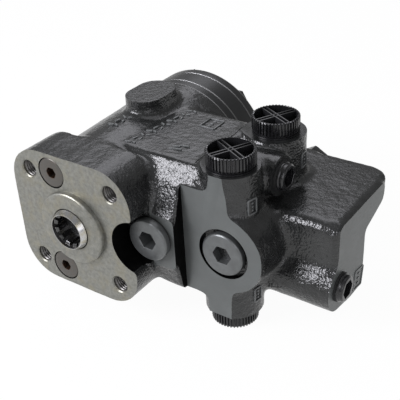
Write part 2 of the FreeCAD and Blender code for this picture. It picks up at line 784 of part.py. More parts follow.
def make_front_seals():
    """Dust seal, shaft seal and the thrust bearing behind them."""
    gap = s.seat_gap
    lip = s.spool_nose_radius + gap
    body = new_body("dust_seal")
    front = s.mouth_length - s.spigot_height
    turn(body, "ring", [
        (lip, front + 1.2), (lip + 0.5, front), (s.dust_seat_radius - gap, front),
        (s.dust_seat_radius - gap, s.dust_seat_end), (lip + 0.2, s.dust_seat_end),
    ])
    body = new_body("shaft_seal")
    outer = s.seal_seat_radius - gap
    start, end = s.seal_seat_start, s.bearing_seat - gap * 2
    turn(body, "ring", [
        (lip + 1.2, start), (outer, start), (outer, end), (outer - 1.4, end),
        (outer - 1.4, start + 1.4), (lip + 1.6, start + 1.4), (lip, end - 2.2), (lip, end - 2.8),
    ])
    races = (
        ("bearing_race_front", s.bearing_seat, first_race_end),
        ("bearing_race_rear", needle_end, second_race_end),
    )
    for label, low, high in races:
        body = new_body(label)
        turn(body, "disc", ring_outline(s.race_bore_radius, race_outer, low, high))
    middle = (first_race_end + needle_end) / 2
    inner_end = s.race_bore_radius + 0.8
    radius = s.needle_diameter / 2
    body = new_body("bearing_cage")
    half = s.cage_thickness / 2
    turn(body, "disc", ring_outline(s.race_bore_radius, race_outer, middle - half, middle + half))
    slot = extrude(body, "slot", "XZ_Plane", middle - half - 0.2, middle + half + 0.2, [[
        (inner_end - gap, -radius - gap), (inner_end + s.needle_length + gap, -radius - gap),
        (inner_end + s.needle_length + gap, radius + gap), (inner_end - gap, radius + gap),
    ]], cut=True)
    repeat(body, "slots", [slot], NEEDLES)
    body = new_body("bearing_needles", separate=True)
    needle = turn(body, "needle", [
        (0, inner_end), (radius, inner_end),
        (radius, inner_end + s.needle_length), (0, inner_end + s.needle_length),
    ], centre=middle, along="x")
    repeat(body, "needles", [needle], NEEDLES)


def make_spool():
    """The spool with its splined nose, windows and metering grooves."""
    body = new_body("spool")
    nose, wide = s.spool_nose_radius, s.spool_radius
    teeth_start = s.spool_nose_front + s.spline_lead_in
    turn(body, "blank", [
        (s.spline_major_radius, s.spool_nose_front), (nose - s.spool_nose_taper, s.spool_nose_front),
        (nose, s.spool_nose_front + s.spool_nose_taper_length), (nose, spool_shoulder), (wide, spool_shoulder),
        (wide, spool_end), (s.spool_bore_radius, spool_end), (s.spool_bore_radius, s.spline_depth),
        (s.spline_minor_radius, s.spline_depth), (s.spline_minor_radius, teeth_start + s.spline_chamfer),
        (s.spline_major_radius, teeth_start),
    ])
    depth, root_radius = s.spline_minor_radius - CUT_MARGIN, s.spline_major_radius
    space = 180 / SPLINE_TEETH
    narrow, broad = sine(space * 0.42), sine(space * 0.56)
    gap = extrude(body, "tooth_space", "XZ_Plane", teeth_start, s.spline_depth, [[
        (depth, depth * -broad), (root_radius, root_radius * -narrow),
        (root_radius, root_radius * narrow), (depth, depth * broad),
    ]], cut=True)
    repeat(body, "spline", [gap], SPLINE_TEETH)
    extrude(body, "pin_windows", "YZ_Plane", wide + CUT_MARGIN, -wide - CUT_MARGIN, circles=[
        (s.pin_station, 0, s.pin_window / 2),
    ], cut=True)
    half_width, half_slot = s.spring_blade_width / 2 + 0.3, s.spring_window / 2
    extrude(body, "spring_windows", "XY_Plane", wide + CUT_MARGIN, -wide - CUT_MARGIN, [[
        (-half_slot, s.spring_station - half_width), (half_slot, s.spring_station - half_width),
        (half_slot, s.spring_station + half_width), (-half_slot, s.spring_station + half_width),
    ]], cut=True)
    start, end = s.gallery_first + s.gallery_pitch + 1, s.gallery_first + s.gallery_pitch * 3
    groove = extrude(body, "metering_groove", "XY_Plane", wide + CUT_MARGIN, wide - 1.2, [[
        (-1.6, start), (1.6, start), (1.6, end), (-1.6, end),
    ]], cut=True)
    repeat(body, "metering_grooves", [groove], SPOOL_GROOVES)


def make_sleeve():
    """The sleeve round the spool, with hole rows at the ring galleries."""
    body = new_body("sleeve")
    turn(body, "blank", ring_outline(sleeve_bore, sleeve_radius, sleeve_start, sleeve_end))
    extrude(body, "pin_holes", "YZ_Plane", sleeve_radius + CUT_MARGIN, -sleeve_radius - CUT_MARGIN,
            circles=[(s.pin_station, 0, s.pin_diameter / 2 + 0.02)], cut=True)
    half_width = s.spring_blade_width / 2 + 0.1
    half_pack = s.spring_blade_thickness * 2 + 0.1
    extrude(body, "spring_slots", "XY_Plane", sleeve_radius + CUT_MARGIN, -sleeve_radius - CUT_MARGIN, [[
        (-half_pack, s.spring_station - half_width), (half_pack, s.spring_station - half_width),
        (half_pack, s.spring_station + half_width), (-half_pack, s.spring_station + half_width),
    ]], cut=True)
    groove_start = s.pin_station + s.pin_diameter / 2 + 1
    turn(body, "oil_groove", ring_outline(
        sleeve_radius - 0.8, sleeve_radius + CUT_MARGIN, groove_start, groove_start + 1.6), cut=True)
    for number in range(GALLERIES):
        station = s.gallery_first + s.gallery_pitch * number + s.gallery_width / 2
        hole = extrude(body, "hole_row_%d" % (number + 1), "XY_Plane",
                       sleeve_radius + CUT_MARGIN, s.spool_bore_radius,
                       circles=[(0, station, s.gallery_width / 2 - 0.6)], cut=True)
        repeat(body, "holes_%d" % (number + 1), [hole], SLEEVE_HOLES)


def make_cross_pin():
    body = new_body("cross_pin", y=s.pin_station)
    half, radius = sleeve_radius - 0.3, s.pin_diameter / 2
    turn(body, "pin", [
        (0, -half), (radius - 0.5, -half), (radius, 0.5 - half),
        (radius, half - 0.5), (radius - 0.5, half), (0, half),
    ], along="x", role="XY_Plane")


def make_centring_springs():
    """Two pairs of leaf springs laid back to back through the windows."""
    body = new_body("centring_springs", y=s.spring_station, separate=True)
    half_width, long = s.spring_blade_width / 2, sleeve_radius - 0.4
    for number in range(4):
        low = s.spring_blade_thickness * (number - 2) + 0.02
        extrude(body, "blade_%d" % (number + 1), "YZ_Plane", low, low + s.spring_blade_thickness - 0.04, [[
            (-half_width, -long), (half_width, -long), (half_width, long), (-half_width, long),
        ]])


def make_cardan():
    """The shaft that carries the rotor's turn to the cross pin."""
    length = rotor_middle - s.pin_station
    body = new_body("cardan_shaft", y=s.pin_station)
    tilt = Size(math.degrees(math.atan2(s.eccentricity.value, length.value)),
                "atan(%s / %s)" % (s.eccentricity.text, length.text))
    body.Placement = FreeCAD.Placement(body.Placement.Base, FreeCAD.Rotation(vector(0, 0, 1), tilt.value))
    bind(body, "Placement.Rotation.Angle", tilt)
    shaft, head = s.cardan_radius, s.head_minor_radius
    head_start, head_end = length - s.head_length / 2 - 1, length + s.head_length / 2 - 1
    turn(body, "blank", [
        (0, -s.cardan_front), (shaft - 1, -s.cardan_front), (shaft, 1 - s.cardan_front),
        (shaft, 8), (shaft - 1.5, 11), (shaft - 1.5, head_start - 8), (shaft, head_start - 3),
        (head - 1, head_start), (head, head_start + 1), (head, head_end - 1), (head - 1, head_end),
        (0, head_end),
    ])
    half_tooth = 180 / HEAD_TEETH * 0.36
    inner = head - 1
    outer = s.head_major_radius
    tooth = extrude(body, "tooth", "XZ_Plane", head_start + 0.8, head_end - 0.8, [[
        (inner, inner * -sine(half_tooth)), (outer, outer * -sine(half_tooth * 0.62)),
        (outer, outer * sine(half_tooth * 0.62)), (inner, inner * sine(half_tooth)),
    ]])
    repeat(body, "crown_teeth", [tooth], HEAD_TEETH)
    half_slot = s.cardan_slot / 2
    extrude(body, "fork_slot", "YZ_Plane", shaft + CUT_MARGIN, -shaft - CUT_MARGIN, [[
        (-s.cardan_front - CUT_MARGIN, -half_slot), (half_slot, -half_slot),
        (half_slot, half_slot), (-s.cardan_front - CUT_MARGIN, half_slot),
    ]], cut=True)


def make_spacer():
    body = new_body("spacer", x=-s.eccentricity)
    start = rotor_middle + s.head_length / 2 - 1 + 0.6
    radius = s.head_minor_radius
    turn(body, "disc", [
        (0, start), (radius - 1, start), (radius, start + 1),
        (radius, ring_end - s.rotor_side_gap), (0, ring_end - s.rotor_side_gap),
    ])


def cut_screw_circle(body, low, high):
    hole = extrude(body, "screw_hole", "XZ_Plane", low - CUT_MARGIN, high + CUT_MARGIN,
                   circles=[(s.screw_circle, 0, s.screw_radius + 0.3)], cut=True)
    repeat(body, "screw_holes", [hole], SCREWS)


def make_gear_set():
    """Distributor plate, gear ring and end cover, the three rear discs."""
    body = new_body("distributor_plate")
    extrude(body, "disc", "XZ_Plane", rear_face, plate_end, circles=[
        (0, 0, s.barrel_radius), (0, 0, s.plate_hole_radius),
    ])
    kidney = extrude(body, "kidney", "XZ_Plane", rear_face - CUT_MARGIN, plate_end + CUT_MARGIN, circles=[
        (s.kidney_circle * cosine(180 / RING_LOBES), s.kidney_circle * sine(180 / RING_LOBES),
         s.kidney_diameter / 2),
    ], cut=True)
    repeat(body, "kidneys", [kidney], RING_LOBES)
    cut_screw_circle(body, rear_face, plate_end)
    body = new_body("gear_ring")
    extrude(body, "disc", "XZ_Plane", plate_end, ring_end, circles=[
        (0, 0, s.barrel_radius), (0, 0, s.ring_cavity_radius),
    ])
    lobe = extrude(body, "lobe", "XZ_Plane", plate_end, ring_end, circles=[
        (s.lobe_circle_radius, 0, s.lobe_radius),
    ])
    repeat(body, "lobes", [lobe], RING_LOBES)
    cut_screw_circle(body, plate_end, ring_end)
    cut_seal_groove(body, plate_end, 1)
    body = new_body("end_cover")
    edge = s.barrel_radius
    turn(body, "disc", [
        (0, ring_end), (edge, ring_end), (edge, cover_end - s.cover_chamfer),
        (edge - s.cover_chamfer, cover_end), (0, cover_end),
    ])
    cut_screw_circle(body, ring_end, cover_end)
    face = extrude(body, "spot_face", "XZ_Plane", washer_seat, cover_end + CUT_MARGIN, circles=[
        (s.screw_circle, 0, s.spot_face_radius),
    ], cut=True)
    repeat(body, "spot_faces", [face], SCREWS)
    cut_seal_groove(body, ring_end, 1)
    rings = (
        ("seal_ring_housing", rear_face - s.seal_ring_section / 2),
        ("seal_ring_plate", plate_end + s.seal_ring_section / 2),
        ("seal_ring_cover", ring_end + s.seal_ring_section / 2),
    )
    for label, station in rings:
        ring = doc.addObject("Part::Torus", label)
        ring.Label = label
        bind(ring, "Radius1", s.seal_ring_radius)
        bind(ring, "Radius2", s.seal_ring_section / 2)
        ring.Placement = FreeCAD.Placement(vector(0, 0, 0), FreeCAD.Rotation(vector(1, 0, 0), 90))
        place(ring, 0, station, 0)
        pieces.append(ring)


def make_rotor():
    """The six-lobed rotor: the inner envelope of the ring's rolling lobes."""
    lobes = RING_LOBES - 1
    circle, shift = s.lobe_circle_radius.value, s.eccentricity.value
    offset = s.lobe_radius.value + s.rotor_gap.value
    low = plate_end.value + s.rotor_side_gap.value
    thickness = s.ring_thickness.value - 2 * s.rotor_side_gap.value
    steps = lobes * 12
    points = []
    for step in range(steps):
        angle = 2 * math.pi * step / steps
        turn_angle = (lobes + 1) * angle
        x = circle * math.cos(angle) + shift * math.cos(turn_angle)
        z = circle * math.sin(angle) + shift * math.sin(turn_angle)
        slope_x = -circle * math.sin(angle) - shift * (lobes + 1) * math.sin(turn_angle)
        slope_z = circle * math.cos(angle) + shift * (lobes + 1) * math.cos(turn_angle)
        length = math.hypot(slope_x, slope_z)
        points.append(vector(x - offset * slope_z / length, low, z + offset * slope_x / length))
    curve = Part.BSplineCurve()
    curve.interpolate(Points=points, PeriodicFlag=True)
    profile = Part.Face(Part.Wire(curve.toShape()))
    blank = profile.extrude(vector(0, thickness, 0))
    minor = s.head_minor_radius.value + s.tooth_clearance.value
    major = s.head_major_radius.value + s.tooth_clearance.value
    hole = Part.makeCylinder(minor, thickness, vector(0, low, 0), vector(0, 1, 0))
    half_space = math.radians(180 / HEAD_TEETH * 0.36)
    grow = s.tooth_clearance.value
    corners = []
    for radius, share, side in ((minor - 1, 1, -1), (major, 0.62, -1), (major, 0.62, 1), (minor - 1, 1, 1)):
        height = side * (radius * math.sin(half_space * share) + grow)
        corners.append(vector(radius, low, height))
    space = Part.Face(Part.makePolygon(corners + corners[:1])).extrude(vector(0, thickness, 0))
    cuts = [hole]
    for tooth in range(HEAD_TEETH):
        copy = space.copy()
        copy.rotate(vector(0, 0, 0), vector(0, 1, 0), tooth * 360.0 / HEAD_TEETH)
        cuts.append(copy)
    rotor = doc.addObject("Part::Feature", "rotor")
    rotor.Label = "rotor"
    rotor.Shape = blank.cut(cuts)
    place(rotor, -s.eccentricity, 0, 0)
    pieces.append(rotor)


def screw_body(label, x, z, reach_depth):
    """A hexagon screw through the three discs, with its head at the rear."""
    body = new_body(label, separate=True)
    seat = washer_seat + s.washer_thickness
    top = seat + s.screw_head_height
    tip = rear_face - reach_depth
    shank = turn(body, "shank", [
        (0, tip), (s.screw_radius - 0.8, tip), (s.screw_radius, tip + 0.8),
        (s.screw_radius, seat), (0, seat),
    ], centre=x, offset=z)
    corner = s.screw_head_flats / cosine(30) / 2
    points = [(x + corner * cosine(60 * k), z + corner * sine(60 * k)) for k in range(6)]
    head = extrude(body, "head", "XZ_Plane", seat, top, [points])
    crown = turn(body, "crown", [
        (corner - 1.2, top + 1), (corner + 1, top - 1), (corner + 2, top + 1),
    ], cut=True, centre=x, offset=z)
    return body, [shank, head, crown]


def make_screws():
    """Six cover screws, the seventh with a longer pin end, and washers."""
    body, features = screw_body("cover_screws", s.screw_circle, as_size(0), s.screw_reach)
    pattern = repeat(body, "circle", features, SCREWS - 1)
    pattern.Mode = "Spacing"
    pattern.Offset = 360.0 / SCREWS
    doc.recompute()
    step = 360.0 / SCREWS
    screw_body("pin_screw", s.screw_circle * cosine(step), s.screw_circle * sine(step), s.screw_reach + 2)
    body = new_body("cover_washers", separate=True)
    washer = turn(body, "washer", ring_outline(
        s.screw_radius + 0.15, s.washer_radius, washer_seat, washer_seat + s.washer_thickness,
    ), centre=s.screw_circle)
    repeat(body, "washers", [washer], SCREWS)


def ball(label, radius, x, y, z):
    """A valve ball as a turned half disc."""
    body = new_body(label, x, y, z)
    turn(body, "ball", [(0, -radius), (radius, 0, radius), (0, radius, radius)])


def make_rear_valves():
    """Check ball with its bush, and two suction balls with their pins."""
    seat = rear_face - s.rear_valve_depth
    x, z = rear_valve_place(90)
    centre = seat + reach(s.check_ball_radius, s.check_seat_radius) + 0.03
    ball("check_ball", s.check_ball_radius, x, centre, z)
    body = new_body("check_bush", x=x, z=z)
    start = centre + s.check_ball_radius + s.check_travel + 0.5
    turn(body, "bush", ring_outline(
        s.check_seat_radius, s.check_bore_radius, start, rear_face - s.seat_gap))
    for name, angle in REAR_VALVES[1:]:
        x, z = rear_valve_place(angle)
        centre = seat + reach(s.suction_ball_radius, s.suction_seat_radius) + 0.03
        ball(name.replace("suction", "suction_ball"), s.suction_ball_radius, x, centre, z)
        body = new_body(name.replace("suction", "suction_pin"), x=x, z=z)
        start = centre + s.suction_ball_radius + s.suction_travel + 0.3
        turn(body, "pin", [
            (0, start), (1.5, start), (1.5, rear_face - 3), (s.suction_bore_radius, rear_face - 3),
            (s.suction_bore_radius, rear_face - s.seat_gap), (0, rear_face - s.seat_gap),
        ])
        extrude(body, "oil_hole", "XZ_Plane", rear_face - 4, rear_face, circles=[
            (2.9, 0, 1.0)], cut=True)


def spring(label, x, z, low, high, coil, wire, turns):
    """A compression spring of square-cornered wire wound round its own Y."""
    body = new_body(label, x=x, z=z)
    sketch = new_sketch(body, "wire_sketch", "XY_Plane", 0)
    draw_outline(sketch, [
        (coil - wire, low), (coil + wire, low), (coil + wire, low + wire * 2),
        (coil - wire, low + wire * 2),
    ])
    helix = body.newObject("PartDesign::AdditiveHelix", "coil")
    helix.Profile = sketch
    helix.ReferenceAxis = (sketch, ["V_Axis"])
    helix.Mode = "height-turns-angle"
    bind(helix, "Height", high - low - wire * 2)
    helix.Turns = turns
    helix.Angle = 0
    helix.Reversed = False
    doc.recompute()
    if "Invalid" in helix.State:
        raise RuntimeError("the coil of %s failed" % label)


def socket(body, across_flats, face, depth):
    extrude(body, "socket", "XZ_Plane", face, face + depth, [hexagon(across_flats)], cut=True)


def make_shock_valves():
    """Closing plug, spring, ball and seat of each shock valve."""
    gap = s.seat_gap
    for name, z in (("upper", s.shock_z), ("lower", -s.shock_z)):
        body = new_body("shock_plug_" + name, x=s.shock_x, z=z)
        head, thread = s.shock_head_radius, s.shock_thread_radius
        turn(body, "plug", [
            (0, 0.1), (head - 0.5, 0.1), (head, 0.6), (head, s.shock_head_depth),
            (thread, s.shock_head_depth), (thread, s.shock_plug_length), (0, s.shock_plug_length),
        ])
        socket(body, s.shock_socket, -CUT_MARGIN, 7)
        seat_start = s.shock_bore_end - s.shock_seat_height
        body = new_body("shock_seat_" + name, x=s.shock_x, z=z)
        turn(body, "seat", ring_outline(s.shock_seat_hole, thread, seat_start, s.shock_bore_end))
        centre = seat_start - reach(s.shock_ball_radius, s.shock_seat_hole) - 0.03
        ball("shock_ball_" + name, s.shock_ball_radius, s.shock_x, centre, z)
        wire, coil = as_size(0.5), s.shock_ball_radius - 0.9
        spring_end = centre - reach(s.shock_ball_radius, coil - wire) - gap
        spring("shock_spring_" + name, s.shock_x, z, s.shock_plug_length + gap,
               spring_end, coil, wire, 3)


def make_relief_valve():
    """Relief valve: plug with seal, adjuster, spring, poppet and seat."""
    gap = s.seat_gap
    seal_start = s.notch_face - s.plug_seal_thickness
    thread_end = s.notch_face + s.relief_thread_length
    x, z = s.relief_x, s.relief_z
    body = new_body("relief_plug", x=x, z=z)
    disc, thread = s.relief_disc_radius, s.relief_thread_radius
    pocket_start, pocket = thread_end - 7, s.relief_cell_radius - 1
    turn(body, "plug", [
        (0, s.relief_face), (disc - 0.8, s.relief_face), (disc, s.relief_face + 0.8),
        (disc, seal_start), (thread, seal_start), (thread, thread_end), (pocket + gap, thread_end),
        (pocket + gap, pocket_start), (0, pocket_start),
    ])
    socket(body, s.socket_large, s.relief_face - CUT_MARGIN, pocket_start - s.relief_face - 1)
    body = new_body("relief_seal", x=x, z=z)
    turn(body, "washer", ring_outline(thread + 0.15, disc - 0.3, seal_start, s.notch_face))
    body = new_body("relief_adjuster", x=x, z=z)
    turn(body, "screw", ring_outline(s.relief_seat_hole, pocket, pocket_start, thread_end - 2))
    seat_start = s.relief_bore_end - 8
    body = new_body("relief_seat", x=x, z=z)
    turn(body, "seat", ring_outline(
        s.relief_seat_hole, s.relief_cell_radius, seat_start, s.relief_bore_end))
    body = new_body("relief_poppet", x=x, z=z)
    hole, guide = s.relief_seat_hole, s.relief_cell_radius - 1.6
    turn(body, "poppet", [
        (0, seat_start - 8), (guide - 2.4, seat_start - 8), (guide - 2.4, seat_start - 6),
        (guide, seat_start - 6), (guide, seat_start - 2.6), (hole + 0.6, seat_start - 0.7),
        (hole - 0.6, seat_start + 0.6), (0, seat_start + 2.2),
    ])
    spring("relief_spring", x, z, thread_end - 2 + gap, seat_start - 6 - gap,
           guide - 1.1, as_size(0.7), 5)


def make_priority_valve():
    """Priority valve: front plug, spool, spring and the rear hexagon plug."""
    gap = s.seat_gap
    x, z = s.priority_x, s.priority_z
    disc, thread = s.relief_disc_radius, s.priority_thread_radius
    seal_start = s.priority_recess_end - s.plug_seal_thickness
    body = new_body("priority_plug", x=x, z=z)
    plug_end = s.priority_thread_end - 2
    turn(body, "plug", [
        (0, s.priority_face), (disc - 0.8, s.priority_face), (disc, s.priority_face + 0.8),
        (disc, seal_start), (thread, seal_start), (thread, plug_end), (0, plug_end),
    ])
    socket(body, s.socket_large, s.priority_face - CUT_MARGIN, 8)
    body = new_body("priority_seal", x=x, z=z)
    turn(body, "washer", ring_outline(thread + 0.15, disc - 0.3, seal_start, s.priority_recess_end))
    body = new_body("priority_spool", x=x, z=z)
    start = plug_end + 1.5
    end = start + s.priority_spool_length
    land, waist = s.priority_spool_radius, s.priority_spool_radius - 3
    third = s.priority_spool_length / 3
    turn(body, "spool", [
        (0, start), (land - 1, start), (land, start + 1), (land, start + 9), (waist, start + 10.5),
        (waist, start + third), (land, start + third), (land, start + third * 2),
        (waist, start + third * 2), (waist, end - 8), (land, end - 6.5), (land, end), (0, end),
    ])
    extrude(body, "spring_pocket", "XZ_Plane", end - 4, end + CUT_MARGIN, circles=[
        (0, 0, land - 1.2)], cut=True)
    rear = s.priority_rear_face
    shank_start = rear - s.priority_rear_depth + 3
    pocket = s.priority_spool_radius
    head_start = rear + s.plug_seal_thickness
    body = new_body("priority_spring_plug", x=x, z=z)
    outer = s.priority_rear_radius
    turn(body, "shank", [
        (pocket, shank_start), (outer, shank_start), (outer, head_start), (0, head_start),
        (0, shank_start + 8), (pocket, shank_start + 8),
    ])
    head_end = head_start + s.priority_hex_height
    extrude(body, "head", "XZ_Plane", head_start, head_end, [hexagon(s.priority_hex_flats, True)])
    corner = s.priority_hex_flats / cosine(30) / 2
    turn(body, "crown", [
        (corner - 2.4, head_end + 1), (corner + 1, head_end - 1), (corner + 2, head_end + 1),
    ], cut=True)
    body = new_body("priority_rear_seal", x=x, z=z)
    turn(body, "washer", ring_outline(outer + 0.15, s.priority_hex_flats / 2 - 0.6, rear, head_start))
    spring("priority_spring", x, z, end - 4 + gap, shank_start + 8 - gap,
           land - 2.6, as_size(0.9), 6)


def small_plug(label, x, y, z):
    """A small socket plug and its seal, with the axis along +X."""
    head, thread = s.small_plug_radius, s.small_thread_radius
    base = s.plug_seal_thickness
    top = base + s.small_plug_height
    body = new_body(label + "_plug", x, y, z)
    point_axis(body, "+X")
    turn(body, "plug", [
        (0, -s.small_thread_length), (thread, -s.small_thread_length), (thread, base),
        (head, base), (head, base + 1), (head - 0.5, base + 1.5), (head - 0.5, top - 0.8),
        (head - 1.3, top), (0, top),
    ])
    extrude(body, "socket", "XZ_Plane", top - s.socket_small_depth, top + CUT_MARGIN, [
        hexagon(s.socket_small)], cut=True)
    body = new_body(label + "_seal", x, y, z)
    point_axis(body, "+X")
    turn(body, "washer", ring_outline(thread + 0.15, head + 0.3, 0, base))


def port_cap(label, x, y, z, direction):
    """A plastic transit cap: fluted cup with crossed double ribs inside."""
    body = new_body(label, x, y, z)
    point_axis(body, direction)
    outer, collar, top = s.cap_radius, s.cap_collar_height, s.cap_height
    inner = outer - s.cap_wall
    shank = s.cap_shank_radius
    turn(body, "cup", [
        (0, -s.cap_shank_length), (shank - 1, -s.cap_shank_length), (shank, 1 - s.cap_shank_length),
        (shank, 0), (outer - 0.2, 0), (outer - 0.2, collar * 0.6), (outer - 0.7, collar * 0.7),
        (outer - 0.7, collar), (outer, collar), (outer, top - 0.6), (outer - 0.6, top),
        (inner + 0.4, top), (inner, top - 0.4), (inner, s.cap_floor), (0, s.cap_floor),
    ])
    near = s.cap_rib_gap / 2
    far = near + s.cap_rib
    length = inner + 0.4
    rib_top = top - 0.3
    for number, (low, high) in enumerate(((near, far), (-far, -near)), 1):
        extrude(body, "rib_%d" % number, "XZ_Plane", s.cap_floor - 0.1, rib_top, [[
            (-length, low), (length, low), (length, high), (-length, high),
        ]])
        extrude(body, "cross_rib_%d" % number, "XZ_Plane", s.cap_floor - 0.1, rib_top, [[
            (low, -length), (high, -length), (high, length), (low, length),
        ]])
    nub = far + 2.4
    extrude(body, "nub", "XZ_Plane", s.cap_floor - 0.1, s.cap_floor + 2.5, circles=[
        (nub + 0.6, -nub - 0.6, 1.7)])
    half_flute = outer * sine(180 / CAP_FLUTES) * 0.62
    flute = extrude(body, "flute", "XZ_Plane", collar - 0.01, top + CUT_MARGIN, [[
        (outer + CUT_MARGIN, -half_flute * 2), (outer - s.cap_flute_depth, 0),
        (outer + CUT_MARGIN, half_flute * 2),
    ]], cut=True)
    repeat(body, "flutes", [flute], CAP_FLUTES)


def make_plugs_and_caps():
    small_plug("gauge", s.gauge_face, s.gauge_y, s.gauge_z)
    small_plug("end", s.block_end, s.end_plug_y, s.end_plug_z)
    port_cap("port_cap_left", s.port_x, s.port_front_y, s.port_top, "+Z")
    port_cap("port_cap_right", s.port_x, s.port_rear_y, s.port_top, "+Z")
    port_cap("port_cap_pump", s.port_x, s.port_front_y, s.port_bottom, "-Z")
    port_cap("port_cap_tank", s.port_x, s.port_rear_y, s.port_bottom, "-Z")
    port_cap("port_cap_auxiliary", s.auxiliary_x, s.block_low_rear, s.auxiliary_z, "+Y")


make_housing()
make_front_seals()
make_spool()
make_sleeve()
make_cross_pin()
make_centring_springs()
make_cardan()
make_spacer()
make_gear_set()
make_rotor()
make_screws()
make_rear_valves()
make_shock_valves()
make_relief_valve()
make_priority_valve()
make_plugs_and_caps()
doc.recompute()

for item in doc.Objects:
    if "Invalid" in item.State or "Error" in item.State:
        raise RuntimeError("%s did not recompute" % item.Label)
os.makedirs("parts", exist_ok=True)
for piece in pieces:
    if piece.Shape.isNull() or not piece.Shape.isValid() or not piece.Shape.Solids:
        raise RuntimeError("%s has no valid solid" % piece.Label)
    piece.Shape.exportStep(os.path.join("parts", piece.Label + ".step"))
    print("%-24s %2d solids %10.1f mm3" % (piece.Label, len(piece.Shape.Solids), piece.Shape.Volume))
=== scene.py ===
"""Orbital steering unit with a priority valve: the dressed model."""

import json
import math

import bmesh
import bpy
from bpy.props import FloatProperty, FloatVectorProperty, IntProperty, PointerProperty
from mathutils import Matrix, Vector, noise

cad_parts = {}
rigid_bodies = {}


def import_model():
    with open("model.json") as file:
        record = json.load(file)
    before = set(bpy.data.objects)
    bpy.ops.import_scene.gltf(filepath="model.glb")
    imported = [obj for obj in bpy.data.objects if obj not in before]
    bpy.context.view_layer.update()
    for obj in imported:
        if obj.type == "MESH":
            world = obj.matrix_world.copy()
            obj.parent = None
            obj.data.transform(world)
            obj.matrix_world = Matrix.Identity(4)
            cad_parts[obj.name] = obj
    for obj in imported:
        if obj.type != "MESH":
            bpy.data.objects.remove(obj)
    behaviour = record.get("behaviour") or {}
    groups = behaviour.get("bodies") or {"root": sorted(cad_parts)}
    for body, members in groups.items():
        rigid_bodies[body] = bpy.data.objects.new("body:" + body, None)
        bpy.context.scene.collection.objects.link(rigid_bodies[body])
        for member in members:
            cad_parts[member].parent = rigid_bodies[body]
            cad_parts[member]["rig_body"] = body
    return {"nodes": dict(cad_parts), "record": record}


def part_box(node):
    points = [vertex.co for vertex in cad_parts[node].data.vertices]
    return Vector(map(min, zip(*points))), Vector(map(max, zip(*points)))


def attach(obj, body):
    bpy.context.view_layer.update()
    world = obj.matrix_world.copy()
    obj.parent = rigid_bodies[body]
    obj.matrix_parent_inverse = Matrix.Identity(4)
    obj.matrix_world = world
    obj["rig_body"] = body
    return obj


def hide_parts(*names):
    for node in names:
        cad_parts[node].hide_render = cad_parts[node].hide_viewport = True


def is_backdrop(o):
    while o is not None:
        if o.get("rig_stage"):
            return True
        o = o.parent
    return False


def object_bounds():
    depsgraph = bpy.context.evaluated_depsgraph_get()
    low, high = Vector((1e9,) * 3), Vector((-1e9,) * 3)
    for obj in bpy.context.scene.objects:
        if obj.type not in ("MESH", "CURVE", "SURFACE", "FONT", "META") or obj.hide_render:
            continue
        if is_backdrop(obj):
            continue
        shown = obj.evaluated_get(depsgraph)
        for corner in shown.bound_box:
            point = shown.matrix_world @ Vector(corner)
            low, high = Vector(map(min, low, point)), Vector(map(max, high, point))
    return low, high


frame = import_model()
cad_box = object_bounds()

bl_info = {
    "name": "Orbital Steering Unit",
    "version": (1, 0, 0),
    "blender": (4, 5, 0),
    "location": "View3D > Sidebar > Steering Unit",
    "description": "Dresses the packed steering unit with its casting, caps, plugs and finishes",
    "category": "Object",
}

MM = 0.001
AXES = {
    "+X": Vector((1, 0, 0)), "-X": Vector((-1, 0, 0)),
    "+Y": Vector((0, 1, 0)), "-Y": Vector((0, -1, 0)),
    "+Z": Vector((0, 0, 1)), "-Z": Vector((0, 0, -1)),
}
SLOT_OF = {row["node"]: row["material_slot"] for row in frame["record"]["subparts"]}


def mm(*numbers):
    return Vector(numbers) * MM


# Places on the steering unit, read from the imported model

def middle(node):
    low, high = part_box(node)
    return (low + high) / 2


FLANGE_FACE = 0.0
STEERING_AXIS = Vector((0, 0, 0))
RELIEF = middle("relief_plug")
PRIORITY = middle("priority_plug")
SHOCK_UPPER = middle("shock_plug_upper")
SHOCK_LOWER = middle("shock_plug_lower")
GAUGE = middle("gauge_plug")
GAUGE_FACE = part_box("gauge_seal")[0].x
END_PLUG = middle("end_plug")
REAR_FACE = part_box("distributor_plate")[0].y
HOUSING_LOW, HOUSING_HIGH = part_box("housing")
BLOCK_END = HOUSING_HIGH.x
PAD_TOP = HOUSING_HIGH.z
PORT_BOTTOM = HOUSING_LOW.z
SPIGOT_FRONT = HOUSING_LOW.y
REAR_BOSS_FACE = HOUSING_HIGH.y


# Sizes and colours that a user would change

def length(name, description, default):
    return FloatProperty(
        name=name, description=description, default=default, unit="LENGTH", precision=5)


def colour(name, description, default):
    return FloatVectorProperty(
        name=name, description=description, default=default, subtype="COLOR", min=0, max=1)


def angle(name, description, degrees):
    return FloatProperty(
        name=name, description=description, default=math.radians(degrees), subtype="ANGLE")


def amount(name, description, default):
    return FloatProperty(name=name, description=description, default=default)


def count(name, description, default):
    return IntProperty(name=name, description=description, default=default)


class CastingSizes(bpy.types.PropertyGroup):
    voxel: length("Voxel", "Grid size that the raw casting is blended on", 0.00095)
    rounding: count("Rounding", "Passes that blend the cast corners", 16)
    filleting: count("Filleting", "Further passes in the hollow corners", 45)
    stock: length("Machining stock", "Metal left on each face before it is milled", 0.003)
    block_edge: length("Block edge", "Radius of the cast edges of the valve block", 0.0075)
    grain: length("Grain height", "Height of the sand grain on the cast skin", 0.00011)
    grain_size: length("Grain size", "Width of one patch of the sand grain", 0.0026)
    swell: length("Swell height", "Height of the slow waves in the cast skin", 0.00022)
    swell_size: length("Swell size", "Width of one slow wave in the cast skin", 0.014)


